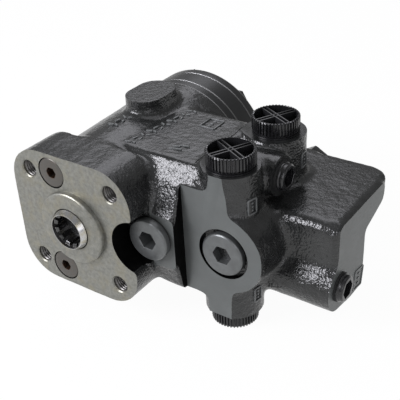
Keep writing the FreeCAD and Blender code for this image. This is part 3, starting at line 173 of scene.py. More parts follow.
class MachinedSizes(bpy.types.PropertyGroup):
    bolt_spacing: length("Column bolt spacing", "Side of the square of tapped holes", 0.05833)
    tap_major: length("Tap radius", "Root radius of the tapped holes", 0.00495)
    tap_minor: length("Tap bore radius", "Crest radius of the tapped holes", 0.00425)
    tap_pitch: length("Tap pitch", "Pitch of the tapped holes", 0.0015)
    tap_depth: length("Tap depth", "Depth of the tapped holes", 0.018)
    countersink: length("Countersink radius", "Radius of the countersink at the face", 0.0056)
    spigot_radius: length("Spigot radius", "Outer radius of the locating spigot", 0.0222)
    spigot_bore: length("Spigot bore radius", "Seat of the dust seal in the spigot", 0.0135)
    spigot_mouth: length("Spigot mouth radius", "Bore of the lip before the seal", 0.01265)
    mouth_length: length("Spigot mouth length", "Thickness of that lip", 0.0012)
    notch_radius: length("Notch radius", "Cutter radius round the relief plug", 0.0163)
    notch_face: length("Notch face", "Distance of the notch floor behind the flange", 0.015)
    valve_face: length("Valve face", "Distance of the valve face behind the flange", 0.024)
    valve_face_left: length("Valve face side", "Where the step to the valve face lies", 0.0583)
    priority_recess: length("Priority recess", "Radius of the priority plug's recess", 0.01525)
    port_top: length("Port top", "Height of the upper port faces", 0.0425)
    port_bore: length("Port bore", "Radius of the port bores", 0.0093)
    parting_groove: length("Parting groove", "Where the groove beside the ports lies", 0.062)


class CapSizes(bpy.types.PropertyGroup):
    knurls: count("Knurls", "Ribs round a transit cap's rim", 44)
    knurl_depth: length("Knurl depth", "Depth of the flutes between the ribs", 0.0009)
    radius: length("Radius", "Outer radius of a transit cap", 0.0135)
    height: length("Height", "Height of a transit cap above its port", 0.0095)
    wall: length("Wall", "Wall of the cap's cup", 0.0014)
    floor: length("Floor", "Height of the cup's floor above the port", 0.0026)
    rib: length("Rib", "Thickness of one rib in the cup", 0.0009)
    rib_gap: length("Rib gap", "Gap between the two ribs of a pair", 0.0016)
    shank: length("Shank radius", "Radius of the threaded shank", 0.0092)
    shank_length: length("Shank length", "Length of the threaded shank", 0.009)


class FinishColours(bpy.types.PropertyGroup):
    cast_paint: colour("Cast paint", "Black paint on the sand casting", (0.021, 0.022, 0.022))
    milled_paint: colour("Milled paint", "Thin paint on milled faces", (0.088, 0.094, 0.092))
    bare_iron: colour("Bare iron", "Milled iron of the flange face", (0.212, 0.212, 0.191))
    stain: colour("Stain", "Yellowish stain on bare iron", (0.25, 0.225, 0.15))
    plug_grey: colour("Plug grey", "Thinly painted steel plugs", (0.115, 0.12, 0.12))
    plug_brown: colour("Plug brown", "Tarnished flush plugs", (0.088, 0.083, 0.075))
    rust: colour("Rust", "Rust in the small sockets", (0.11, 0.06, 0.035))
    plastic: colour("Plastic", "Moulded transit caps", (0.011, 0.011, 0.012))
    gloss_paint: colour("Gloss paint", "Gloss black plugs", (0.012, 0.012, 0.013))
    disc_paint: colour("Disc paint", "Paint on the turned discs", (0.007, 0.0075, 0.008))
    steel: colour("Steel", "Ground steel of the inner pieces", (0.5, 0.5, 0.5))
    # The thread's steel is darker than the other steel, as painted shade inside the tapped holes.
    thread_steel: colour("Thread steel", "Oily thread of the tapped holes", (0.15, 0.145, 0.14))
    rubber: colour("Rubber", "Seals", (0.015, 0.015, 0.015))


class StageSettings(bpy.types.PropertyGroup):
    azimuth: angle("Azimuth", "Camera's direction round the unit", 36.127)
    elevation: angle("Elevation", "Camera's height over the horizon", 31.149)
    roll: angle("Roll", "Camera's tilt about its own axis", -3.163)
    camera_place: FloatVectorProperty(
        name="Camera place", description="Where the camera stands", unit="LENGTH",
        default=(0.2732, -0.2538, 0.2341))
    lens: amount("Lens", "Focal length in millimetres", 69.81)
    ambient: amount("Ambient", "Strength of the surrounding light", 0.32)
    key: amount("Key light", "Power of the main soft light", 21.0)
    fill: amount("Fill light", "Power of the side light", 1.6)
    front: amount("Front light", "Power of the light at the front", 1.0)
    back: amount("Back light", "Power of the light behind", 2.4)
    top: amount("Top light", "Power of the light overhead", 1.6)


def settings():
    return bpy.context.scene.steering_unit


# Mesh helpers

CAD_MERGE = 0.002 * MM
LATHE_MERGE = 0.001 * MM
# Degrees between faces from which an edge is rounded off, and from which it is shaded sharp
ROUNDED_FROM = 38.0
SHADED_FROM, CASTING_SHADED_FROM, THREADS_SHADED_FROM = 32.0, 34.0, 50.0
CAPS_SHADED_FROM, TURNED_SHADED_FROM = 30.0, 20.0
# Sides of the cutters and turned shapes
SMALL_ROUND, ROUND, LARGE_ROUND = 48, 64, 128


def cad_copy(node):
    """A copy of a CAD node with its loose triangles merged."""
    bm = bmesh.new()
    bm.from_mesh(frame["nodes"][node].data)
    bmesh.ops.remove_doubles(bm, verts=bm.verts, dist=CAD_MERGE)
    return bm


def mark_sharp(bm, degrees):
    limit = math.radians(degrees)
    for face in bm.faces:
        face.smooth = True
    for edge in bm.edges:
        edge.smooth = not (edge.is_manifold and edge.calc_face_angle(0.0) > limit)


def sharp_edges(bm):
    """The outward edges that are sharp enough to be rounded off."""
    limit = math.radians(ROUNDED_FROM)
    return [
        edge for edge in bm.edges
        if edge.is_manifold and edge.calc_face_angle(0.0) >= limit
        and edge.calc_face_angle_signed(0.0) >= 0]


def bevel(bm, edges, width):
    """Round edges off; gives the new faces."""
    made = bmesh.ops.bevel(
        bm, geom=edges, offset=width, offset_type="OFFSET", segments=2, profile=0.5,
        affect="EDGES", clamp_overlap=True, material=-1)
    return made["faces"]


def place_along(bm, centre, direction, turn=0.0):
    """Move a shape built round +Z so that it stands at centre along direction."""
    facing = AXES["+Z"].rotation_difference(AXES[direction]).to_matrix().to_4x4()
    spun = Matrix.Rotation(turn, 4, "Z")
    bmesh.ops.transform(bm, matrix=Matrix.Translation(centre) @ facing @ spun, verts=bm.verts)


def lathe(outline, segments):
    """Revolve (radius, height) pairs in millimetres round Z into a closed shape."""
    bm = bmesh.new()
    points = [bm.verts.new(mm(radius, 0, height)) for radius, height in outline]
    edges = [bm.edges.new(pair) for pair in zip(points, points[1:])]
    if outline[0][0] > 0:
        edges.append(bm.edges.new((points[-1], points[0])))
    bmesh.ops.spin(
        bm, geom=points + edges, cent=(0, 0, 0), axis=(0, 0, 1), dvec=(0, 0, 0),
        angle=2 * math.pi, steps=segments, use_merge=True, use_duplicate=False)
    bmesh.ops.remove_doubles(bm, verts=bm.verts, dist=LATHE_MERGE)
    bmesh.ops.recalc_face_normals(bm, faces=bm.faces)
    return bm


def cylinder(radius, low, high, centre, direction="+Y", segments=ROUND, tip=None):
    """A closed cylinder or cone between two distances along an axis, in metres."""
    bm = bmesh.new()
    bmesh.ops.create_cone(
        bm, cap_ends=True, segments=segments, radius1=radius,
        radius2=radius if tip is None else tip, depth=high - low)
    bmesh.ops.translate(bm, vec=(0, 0, (low + high) / 2), verts=bm.verts)
    place_along(bm, centre, direction)
    return bm


def slab(low, high):
    """A closed box between two corners, in metres."""
    bm = bmesh.new()
    low, high = Vector(low), Vector(high)
    size = Matrix.Diagonal((high - low).to_4d())
    bmesh.ops.create_cube(bm, size=1.0, matrix=Matrix.Translation((low + high) / 2) @ size)
    return bm


def joined(shapes):
    """All the shapes in one bmesh; the shapes are used up."""
    whole = bmesh.new()
    for shape in shapes:
        mesh = bpy.data.meshes.new("part")
        shape.to_mesh(mesh)
        shape.free()
        whole.from_mesh(mesh)
        bpy.data.meshes.remove(mesh)
    return whole


def new_object(bm, name, materials=()):
    """An object in the scene that takes over the bmesh."""
    mesh = bpy.data.meshes.new(name)
    bm.to_mesh(mesh)
    bm.free()
    for material in materials:
        mesh.materials.append(material)
    thing = bpy.data.objects.new(name, mesh)
    bpy.context.scene.collection.objects.link(thing)
    return thing


def discard(thing):
    mesh = thing.data
    bpy.data.objects.remove(thing)
    bpy.data.meshes.remove(mesh)


def evaluated(thing):
    """The object's mesh with its modifiers applied, as a bmesh; the object goes."""
    bpy.context.view_layer.update()
    graph = bpy.context.evaluated_depsgraph_get()
    mesh = bpy.data.meshes.new_from_object(thing.evaluated_get(graph))
    bm = bmesh.new()
    bm.from_mesh(mesh)
    bpy.data.meshes.remove(mesh)
    discard(thing)
    return bm


def carve(blank, tools):
    """Cut each tool out of the blank, one after the other."""
    for tool in tools:
        thing = new_object(blank, "blank")
        cutter = new_object(tool, "cutter")
        cut = thing.modifiers.new("cut", "BOOLEAN")
        cut.operation = "DIFFERENCE"
        cut.solver = "MANIFOLD"
        cut.object = cutter
        blank = evaluated(thing)
        discard(cutter)
    return blank


def finish_piece(bm, name, body, materials, slot, nodes, sharp=SHADED_FROM):
    """Turn a bmesh into a piece that rides on a body and replaces CAD nodes."""
    mark_sharp(bm, sharp)
    piece = new_object(bm, name, materials)
    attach(piece, body)
    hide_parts(*nodes)


def body_of_node(node):
    return frame["nodes"][node]["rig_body"]


# Finishes

# About the spacing of a wave texture's rings at scale 1
WAVE_PERIOD = 0.3
# Radii round which the spool's socket is darkened as painted shade, and the shock plugs are rusty
SOCKET_SHADE_RADIUS = 10.6 * MM
RUST_RADIUS = 3.6 * MM


class Nodes:
    """Short names for the nodes that every finish is made of."""

    def __init__(self, tree):
        self.tree = tree
        self.shader = tree.nodes["Principled BSDF"]
        self.place = self.new("TexCoord").outputs["Object"]

    def new(self, kind):
        return self.tree.nodes.new("ShaderNode" + kind)

    def link(self, source, target):
        self.tree.links.new(source, target)

    def feed(self, source, socket):
        """Link an output to a socket, or set a constant or a colour on it."""
        if hasattr(source, "is_output"):
            self.link(source, socket)
        elif socket.type == "RGBA":
            socket.default_value = (*source, 1.0)
        else:
            socket.default_value = source

    def mapped(self, name, value):
        """The place on the object, moved by its Location or stretched by its Scale."""
        node = self.new("Mapping")
        node.inputs[name].default_value = value
        self.link(self.place, node.inputs["Vector"])
        return node.outputs["Vector"]

    def math(self, operation, first, second=0.0):
        node = self.new("Math")
        node.operation = operation
        self.feed(first, node.inputs[0])
        self.feed(second, node.inputs[1])
        return node.outputs[0]

    def off_axis(self, axis, reach):
        """Distance from a line along Y or from its mirror image below, over reach."""
        split = self.new("SeparateXYZ")
        self.link(self.place, split.inputs[0])
        x = self.math("SUBTRACT", split.outputs[0], axis.x)
        z = self.math("SUBTRACT", self.math("ABSOLUTE", split.outputs[2]), abs(axis.z))
        squares = self.math("ADD", self.math("POWER", x, 2.0), self.math("POWER", z, 2.0))
        return self.math("DIVIDE", self.math("SQRT", squares), reach)

    def noise(self, size, detail=3.0, roughness=0.55, vector=None):
        node = self.new("TexNoise")
        node.inputs["Scale"].default_value = 1.0 / size
        node.inputs["Detail"].default_value = detail
        node.inputs["Roughness"].default_value = roughness
        self.link(vector or self.place, node.inputs["Vector"])
        return node.outputs["Fac"]

    def rings(self, centre, size, distortion):
        """The marks of a tool that went round a line along Y."""
        node = self.new("TexWave")
        node.wave_type = "RINGS"
        node.rings_direction = "Y"
        node.inputs["Scale"].default_value = WAVE_PERIOD / size
        node.inputs["Distortion"].default_value = distortion
        node.inputs["Detail"].default_value = 2.0
        self.link(self.mapped("Location", -centre), node.inputs["Vector"])
        return node.outputs["Fac"]

    def ramp(self, value, low, high, start=0.3, end=0.75):
        """Goes from low to high, numbers or colours, while value goes from start to end."""
        node = self.new("ValToRGB")
        for element, at, tint in zip(node.color_ramp.elements, (start, end), (low, high)):
            element.position = at
            element.color = (*tint, 1.0) if hasattr(tint, "__len__") else (tint, tint, tint, 1.0)
        self.link(value, node.inputs["Fac"])
        return node.outputs["Color"]

    def mottled(self, size, tint, dark, light, detail=4.0):
        """Patches between a darker and a lighter share of one colour."""
        return self.ramp(self.noise(size, detail), shade(tint, dark), shade(tint, light))

    def mix(self, factor, first, second):
        node = self.new("Mix")
        node.data_type = "RGBA"
        self.link(factor, node.inputs["Factor"])
        self.feed(first, node.inputs[6])
        self.feed(second, node.inputs[7])
        return node.outputs[2]

    def attribute(self, name):
        node = self.new("Attribute")
        node.attribute_name = name
        return node.outputs["Fac"]

    def bump(self, height, distance, strength, under=None):
        node = self.new("Bump")
        node.inputs["Distance"].default_value = distance
        self.feed(strength, node.inputs["Strength"])
        self.link(height, node.inputs["Height"])
        if under:
            self.link(under, node.inputs["Normal"])
        return node.outputs["Normal"]

    def surface(self, base, rough, metallic=0.0, normal=None, specular=0.5):
        self.feed(base, self.shader.inputs["Base Color"])
        self.feed(rough, self.shader.inputs["Roughness"])
        self.shader.inputs["Metallic"].default_value = metallic
        self.shader.inputs["Specular IOR Level"].default_value = specular
        if normal:
            self.link(normal, self.shader.inputs["Normal"])


def shade(tint, factor):
    return tuple(channel * factor for channel in tint)


def cast_paint(made, tint):
    """Semi-gloss black paint over the grain of a sand casting."""
    base = made.ramp(
        made.noise(9 * MM, detail=4.0), shade(tint, 0.35), shade(tint, 0.85), end=0.72)
    grain = made.noise(1.2 * MM, detail=1.0, roughness=0.5)
    pitted = made.noise(3.4 * MM, detail=1.0, roughness=0.5)
    strength = made.ramp(made.attribute("level_skin"), 1.0, 0.28, start=0.0, end=1.0)
    normal = made.bump(pitted, 0.50 * MM, strength)
    normal = made.bump(grain, 0.40 * MM, strength, under=normal)
    made.surface(base, made.ramp(grain, 0.19, 0.3, end=0.7), normal=normal, specular=0.55)


def smooth_paint(made, tint):
    """The casting's black paint on turned walls and port faces."""
    normal = made.bump(made.noise(1.6 * MM, detail=2.0), 0.06 * MM, strength=0.5)
    rough = made.ramp(made.noise(5 * MM, detail=4.0), 0.24, 0.34)
    made.surface(made.mottled(5 * MM, tint, 0.4, 0.8), rough, normal=normal)


def shaded_paint(made, tint):
    """Painted shade: near-black matt paint on the steps beside the plugs and the valve face, where
    shade falls.
    """
    normal = made.bump(made.noise(4 * MM), 0.05 * MM, strength=0.4)
    base = made.mottled(4 * MM, tint, 0.03, 0.1, detail=3.0)
    made.surface(base, 0.5, normal=normal, specular=0.05)


def milled_paint(made, tint):
    """Thin grey-green paint on milled faces."""
    along_cutter = made.mapped("Scale", (260, 260, 2400))
    streaks = made.noise(1.0, roughness=0.5, vector=along_cutter)
    normal = made.bump(streaks, 0.02 * MM, strength=0.6)
    rough = made.ramp(streaks, 0.40, 0.48, end=0.7)
    made.surface(made.mottled(14 * MM, tint, 0.9, 1.12), rough, 0.25, normal)


def bare_iron(made, tint, stain):
    """Milled bare iron with slight yellowish stains."""
    patches = made.noise(9 * MM, detail=5.0, roughness=0.62)
    stained = made.ramp(patches, 0.0, 0.6, start=0.46, end=0.74)
    mottle = made.ramp(
        made.noise(2.4 * MM, detail=5.0, roughness=0.7), shade(tint, 0.7), shade(tint, 1.24),
        start=0.32, end=0.7)
    normal = made.bump(made.rings(STEERING_AXIS, 1.4 * MM, 0.6), 0.012 * MM, strength=0.5)
    pores = made.noise(1.1 * MM, roughness=0.6)
    normal = made.bump(pores, 0.035 * MM, strength=0.6, under=normal)
    rough = made.ramp(made.noise(5 * MM, detail=4.0), 0.33, 0.45)
    made.surface(made.mix(stained, mottle, stain), rough, 0.75, normal)


def turned_steel(made, tint, centre, metallic, rough):
    """Steel or paint with the fine rings of a lathe tool about its own axis."""
    rings = made.rings(centre, 0.45 * MM, 0.4)
    normal = made.bump(rings, 0.008 * MM, strength=0.5)
    roughness = made.ramp(rings, rough - 0.04, rough + 0.06, start=0.0, end=1.0)
    made.surface(made.mottled(4 * MM, tint, 0.82, 1.15), roughness, metallic, normal)


def tarnished(made, tint, rust):
    """Bare steel with a brown tarnish, rusty in the sockets of the two shock plugs."""
    socket = made.ramp(made.off_axis(SHOCK_UPPER, RUST_RADIUS), 1.0, 0.0, start=0.85, end=1.0)
    patches = made.noise(2.2 * MM, detail=5.0, roughness=0.65)
    spots = made.ramp(patches, 0.0, 0.15, start=0.5, end=0.7)
    worn = made.mix(spots, tint, shade(rust, 1.6))
    normal = made.bump(made.noise(0.9 * MM, detail=4.0), 0.03 * MM, strength=0.7)
    rough = made.ramp(spots, 0.36, 0.55, start=0.0, end=1.0)
    made.surface(made.mix(socket, worn, shade(rust, 0.5)), rough, 0.7, normal)


def nose_steel(made, tint, stain):
    """The spool's ground steel, yellowed outside, and darkened in its socket as painted shade."""
    off_axis = made.off_axis(STEERING_AXIS, SOCKET_SHADE_RADIUS)
    # Painted shade: the steel inside the socket is near-black.
    socket = made.ramp(off_axis, 1.0, 0.0, start=0.97, end=1.0)
    yellow = made.ramp(made.noise(5 * MM, detail=4.0), 0.0, 0.8, start=0.45, end=0.7)
    outside = made.mix(yellow, tint, shade(stain, 1.5))
    normal = made.bump(made.rings(STEERING_AXIS, 0.45 * MM, 0.4), 0.008 * MM, strength=0.5)
    rough = made.ramp(yellow, 0.2, 0.34, start=0.0, end=1.0)
    made.surface(made.mix(socket, outside, shade(tint, 0.18)), rough, 0.95, normal)


def gloss(made, tint, rough, texture=0.25):
    """Smooth black finish, moulded or painted."""
    speck = made.noise(1.6 * MM)
    base = made.ramp(speck, shade(tint, 0.8), shade(tint, 1.25), end=0.8)
    normal = made.bump(speck, 0.05 * MM, texture)
    made.surface(base, made.ramp(speck, rough, rough + 0.12, end=0.8), normal=normal)


def plain_steel(made, tint, rough):
    """Ground or drawn steel with fine streaks along Y."""
    patches = made.noise(3 * MM, detail=4.0)
    base = made.ramp(patches, shade(tint, 0.88), shade(tint, 1.08))
    along_y = made.mapped("Scale", (1800, 300, 1800))
    streaks = made.noise(1.0, detail=2.0, roughness=0.5, vector=along_y)
    normal = made.bump(streaks, 0.006 * MM, strength=0.5)
    made.surface(base, made.ramp(patches, rough, rough + 0.1, end=0.8), 0.95, normal)


def rubber(made, tint):
    """Matt moulded rubber."""
    speck = made.noise(1.2 * MM)
    base = made.ramp(speck, shade(tint, 0.8), shade(tint, 1.3), end=0.8)
    normal = made.bump(speck, 0.04 * MM, strength=0.4)
    made.surface(base, made.ramp(speck, 0.6, 0.75, end=0.8), normal=normal)


def finish_rows():
    """How each finish is made: its function, its colour and what else that takes."""
    colours = settings().colours
    steel, paint = colours.steel, colours.cast_paint
    return {
        "cast_paint": (cast_paint, paint),
        "smooth_paint": (smooth_paint, paint),
        "shaded_paint": (shaded_paint, paint),
        # The marks' paint is lighter than the casting's, as painted highlight on their edges.
        "mark_paint": (gloss, shade(paint, 4.5), 0.2),
        "milled_paint": (milled_paint, colours.milled_paint),
        "bare_iron": (bare_iron, colours.bare_iron, colours.stain),
        "nose_steel": (nose_steel, steel, colours.stain),
        "disc_paint": (turned_steel, colours.disc_paint, STEERING_AXIS, 0.0, 0.3),
        "plug_grey": (turned_steel, colours.plug_grey, PRIORITY, 0.6, 0.34),
        "plug_brown": (tarnished, colours.plug_brown, colours.rust),
        "gloss_paint": (gloss, colours.gloss_paint, 0.16),
        "screw_paint": (gloss, colours.gloss_paint, 0.32, 0.45),
        "cap_plastic": (gloss, colours.plastic, 0.15),
        "ground_steel": (plain_steel, steel, 0.24),
        "bearing_steel": (plain_steel, shade(steel, 1.25), 0.12),
        "spring_steel": (plain_steel, shade(steel, 0.6), 0.3),
        # Bare steel on the discs' rounded rims, as painted highlight lines at the joints between
        # the discs.
        "worn_edge": (plain_steel, shade(steel, 0.45), 0.3),
        # Darker steel for the threads, as painted shade in the tapped holes.
        "thread_steel": (plain_steel, colours.thread_steel, 0.34),
        "rubber": (rubber, colours.rubber),
    }


# The slots whose finish has another name than the slot
FINISH_OF_SLOT = {
    "cast_black": "cast_paint", "disc_black": "disc_paint", "plug_black": "gloss_paint",
    "screw_black": "screw_paint", "rubber_black": "rubber",
}


def finish(name):
    """The finish by this name, made when it is first asked for."""
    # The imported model's own materials have the slots' names
    own_name = name + "_finish"
    material = bpy.data.materials.get(own_name)
    if material is None:
        material = bpy.data.materials.new(own_name)
        material.use_nodes = True
        make, *values = finish_rows()[name]
        make(Nodes(material.node_tree), *values)
    return material


# The casting

CAST_FINISHES = ("cast_paint", "milled_paint", "bare_iron", "smooth_paint", "shaded_paint")
# How far a vertex sinks below its neighbours in a hollow corner
HOLLOW_LIMIT = 0.035 * MM
HOLLOW_RINGS = 4
# Upward part of the normal where the skin starts to be level, and is level
LEVEL_FROM = 0.45
LEVEL_FULL = 0.95
# The raw block's front and top, and the height and depth between which its edge is rounded
BLOCK_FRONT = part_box("end_plug")[1].y - 13.5 * MM
BLOCK_TOP = 15.5 * MM
EDGE_LOW = -10 * MM
EDGE_REAR = 110 * MM
# How far a face may be off a milled face's level, and beyond its ranges in the rough CAD
LEVEL_REACH = 0.04 * MM
RANGE_SPARE = 12 * MM
# Bungs fill the bores of the raw casting, and stand proud by a share of the stock
BUNG_PROUD_SHARE = 0.9
TAP_BUNG, SPIGOT_BUNG_END, PORT_BUNG_DEPTH = 6 * MM, 20 * MM, 18 * MM
# Radius, and end behind the flange
SHOCK_BUNG, RELIEF_BUNG = (9.6 * MM, 12 * MM), (10 * MM, 30 * MM)
PRIORITY_BUNG = (16 * MM, 40 * MM)
# Radius, and depth
AUXILIARY_BUNG, REAR_BUNG, SIDE_BUNG = (13 * MM, 12 * MM), (44 * MM, 4 * MM), (8 * MM, 12 * MM)
# How squarely a face looks along an axis to lie on its level, or on the valve face's step
LEVEL_FACING, STEP_FACING = 0.999, 0.99
# Height of the milling boxes in stocks, and what each adds so that no two share a face
OVERCUT, OVERCUT_STEP = 3, 0.1
# Cutters: how far they start before the flange, their radii, and ends from the flange face
LONG_LEAD, LEAD = 20 * MM, 5 * MM
RELIEF_BORE, RELIEF_BORE_END = 9.1 * MM, 22 * MM
SHOCK_BORE, SHOCK_BORE_END = 9.35 * MM, 7 * MM
SPIGOT_BORE_END = 3 * MM
RECESS_START, RECESS_END = 10 * MM, 27.5 * MM
PORT_CUT, PORT_CHAMFER, PORT_SPARE = 15 * MM, 1 * MM, 2 * MM
# How near a face lies to the wall or step that it belongs to, and the reach of a bore's wall
WALL_REACH, STEP_REACH, BORE_REACH = 0.1 * MM, 0.05 * MM, 9.2 * MM
# The parting groove: half its width, and its ends along y and z
GROOVE_HALF, GROOVE_Y, GROOVE_Z = 0.3 * MM, (33 * MM, 80 * MM), (40.9 * MM, 44 * MM)
# Each transit cap's direction, and its turn about its own axis in degrees
CAPS = {
    "port_cap_left": ("+Z", -28), "port_cap_right": ("+Z", -28), "port_cap_pump": ("-Z", 20),
    "port_cap_tank": ("-Z", -12), "port_cap_auxiliary": ("+Y", 35),
}


def milled_faces(machined):
    """Rows of direction, level, ranges of x, y and z that hold the face, and finish."""
    cap_low, cap_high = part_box("port_cap_left")
    across_ports = (cap_low.x - 5 * MM, cap_high.x + 5 * MM)
    along_ports = (20 * MM, 110 * MM)
    wide, far = (-60 * MM, 60 * MM), (0, 200 * MM)
    beside_flange, notch_height = (43 * MM, 62 * MM), (-45 * MM, 45 * MM)
    gauge_y, gauge_z = (45 * MM, 80 * MM), (17 * MM, 60 * MM)
    pad_x, pad_y = (-20 * MM, 20 * MM), (50 * MM, 110 * MM)
    valve_face = (machined.valve_face_left, 200 * MM)
    return (
        ("-Y", FLANGE_FACE, wide, far, wide, "bare_iron"),
        ("-Y", machined.notch_face, beside_flange, far, notch_height, "milled_paint"),
        ("-Y", machined.valve_face, valve_face, far, wide, "milled_paint"),
        ("+Z", machined.port_top, across_ports, along_ports, wide, "smooth_paint"),
        ("-Z", PORT_BOTTOM, across_ports, along_ports, wide, "smooth_paint"),
        ("+X", GAUGE_FACE, far, gauge_y, gauge_z, "smooth_paint"),
        ("+X", BLOCK_END, far, far, wide, "milled_paint"),
        ("+Y", REAR_BOSS_FACE, across_ports, far, (-30 * MM, 30 * MM), "smooth_paint"),
        ("+Y", REAR_FACE, (-60 * MM, 56 * MM), far, wide, "bare_iron"),
        ("+Z", PAD_TOP, pad_x, pad_y, wide, "cast_paint"),
    )


def lies_on(face, row, spare=0.0):
    """Whether a mesh face belongs to a milled face's row."""
    direction, level, *ranges, _ = row
    index = "XYZ".index(direction[1])
    centre = face.calc_center_median()
    facing = face.normal.dot(AXES[direction])
    if facing < LEVEL_FACING or abs(centre[index] - level) > LEVEL_REACH:
        return False
    return all(
        low - spare <= centre[number] <= high + spare
        for number, (low, high) in enumerate(ranges) if number != index)


def face_stock(bm, row, stock):
    """Leave machining stock on one milled face."""
    flat = [face for face in bm.faces if lies_on(face, row, RANGE_SPARE)]
    grown = bmesh.ops.extrude_face_region(bm, geom=flat)
    moved = [item for item in grown["geom"] if isinstance(item, bmesh.types.BMVert)]
    bmesh.ops.translate(bm, vec=AXES[row[0]] * stock, verts=moved)
    bmesh.ops.delete(bm, geom=flat, context="FACES")


def port_places():
    """Cap node, centre of the port's face and the way that it points, for each port."""
    places = []
    for node, (direction, _) in CAPS.items():
        low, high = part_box(node)
        centre = (low + high) / 2
        out = AXES[direction]
        tip = high if direction[0] == "+" else low
        level = tip.dot(out) - settings().caps.height
        centre += out * (level - centre.dot(out))
        places.append((node, centre, direction))
    return places


def column_holes(machined):
    """The mouths of the four tapped holes."""
    half = machined.bolt_spacing / 2
    return [Vector((x, 0, z)) for x in (-half, half) for z in (-half, half)]


def on_flange(point):
    return Vector((point.x, 0, point.z))


def raw_casting(sizes, machined):
    """The housing with stock on its faces and its bores filled, as it is cast."""
    bm = cad_copy("housing")
    for row in milled_faces(machined):
        face_stock(bm, row, sizes.stock)
    bmesh.ops.recalc_face_normals(bm, faces=bm.faces)
    proud = sizes.stock * BUNG_PROUD_SHARE
    rows = [(machined.spigot_bore + MM, -proud, SPIGOT_BUNG_END, STEERING_AXIS)]
    rows += [(TAP_BUNG, -proud, machined.tap_depth, hole) for hole in column_holes(machined)]
    for (radius, end), face, axis in (
        (SHOCK_BUNG, FLANGE_FACE, SHOCK_UPPER), (SHOCK_BUNG, FLANGE_FACE, SHOCK_LOWER),
        (RELIEF_BUNG, machined.notch_face, RELIEF), (PRIORITY_BUNG, machined.valve_face, PRIORITY),
    ):
        rows.append((radius, face - proud, end, axis))
    for (radius, depth), face, axis in (
        (AUXILIARY_BUNG, REAR_BOSS_FACE, PRIORITY), (REAR_BUNG, REAR_FACE, STEERING_AXIS),
    ):
        rows.append((radius, face - depth, face + proud, axis))
    shapes = [bm] + [cylinder(*span, on_flange(axis)) for *span, axis in rows]
    for _, centre, direction in port_places():
        out = 0.0 if direction == "+Y" else proud
        radius = machined.port_bore + PORT_SPARE
        shapes.append(cylinder(radius, -PORT_BUNG_DEPTH, out, centre, direction))
    radius, depth = SIDE_BUNG
    for centre, face in ((GAUGE, GAUGE_FACE), (END_PLUG, BLOCK_END)):
        place = Vector((0, centre.y, centre.z))
        shapes.append(cylinder(radius, face - depth, face + proud, place, "+X"))
    return joined(shapes)


def hollow_corners(bm):
    """Vertices in the concave corners, and a few rings of vertices round them."""
    found = set()
    for vert in bm.verts:
        near = [edge.other_vert(vert).co for edge in vert.link_edges]
        average = sum(near, Vector()) / len(near)
        if (average - vert.co).dot(vert.normal) > HOLLOW_LIMIT:
            found.add(vert)
    for _ in range(HOLLOW_RINGS):
        found |= {edge.other_vert(vert) for vert in found for edge in vert.link_edges}
    return list(found)


def round_block_edge(bm, sizes):
    """Round the block's outer edges, as its corners are in the mould."""
    edge = sizes.block_edge
    inner = Vector((BLOCK_END + sizes.stock - edge, BLOCK_FRONT + edge, BLOCK_TOP - edge))
    for vert in bm.verts:
        place = vert.co
        if place.x < inner.x or place.z < EDGE_LOW or place.y > EDGE_REAR:
            continue
        past = place - inner
        past.y, past.z = min(past.y, 0.0), max(past.z, 0.0)
        if past.length > edge:
            share = min(1.0, (place.z - EDGE_LOW) / edge)
            vert.co = place + past * ((edge / past.length - 1.0) * share)


def blended(bm, sizes):
    """Blend the corners as cast iron fills its sand mould, then grain the skin."""
    thing = new_object(bm, "raw")
    remesh = thing.modifiers.new("remesh", "REMESH")
    remesh.mode = "VOXEL"
    remesh.voxel_size = sizes.voxel
    relax = thing.modifiers.new("relax", "SMOOTH")
    relax.factor = 0.5
    relax.iterations = sizes.rounding
    bm = evaluated(thing)
    round_block_edge(bm, sizes)
    bm.normal_update()
    hollow = hollow_corners(bm)
    for _ in range(sizes.filleting):
        bmesh.ops.smooth_vert(
            bm, verts=hollow, factor=0.5, use_axis_x=True, use_axis_y=True, use_axis_z=True)
    bm.normal_update()
    for vert in bm.verts:
        grain = noise.noise(vert.co / sizes.grain_size)
        swell = noise.noise(vert.co / sizes.swell_size)
        vert.co += vert.normal * (grain * sizes.grain + swell * sizes.swell)
    return bm


def milling_tools(machined, stock):
    """Boxes that mill the flat faces of the casting, and one parting groove."""
    tools = []
    for number, (direction, level, *ranges, _) in enumerate(milled_faces(machined)):
        index = "XYZ".index(direction[1])
        over = stock * (OVERCUT + number * OVERCUT_STEP)
        ranges[index] = (level - over, level) if direction[0] == "-" else (level, level + over)
        low, high = zip(*ranges)
        tools.append(slab(low, high))
    groove = machined.parting_groove
    low, high = zip((groove - GROOVE_HALF, groove + GROOVE_HALF), GROOVE_Y, GROOVE_Z)
    tools.append(slab(low, high))
    return tools


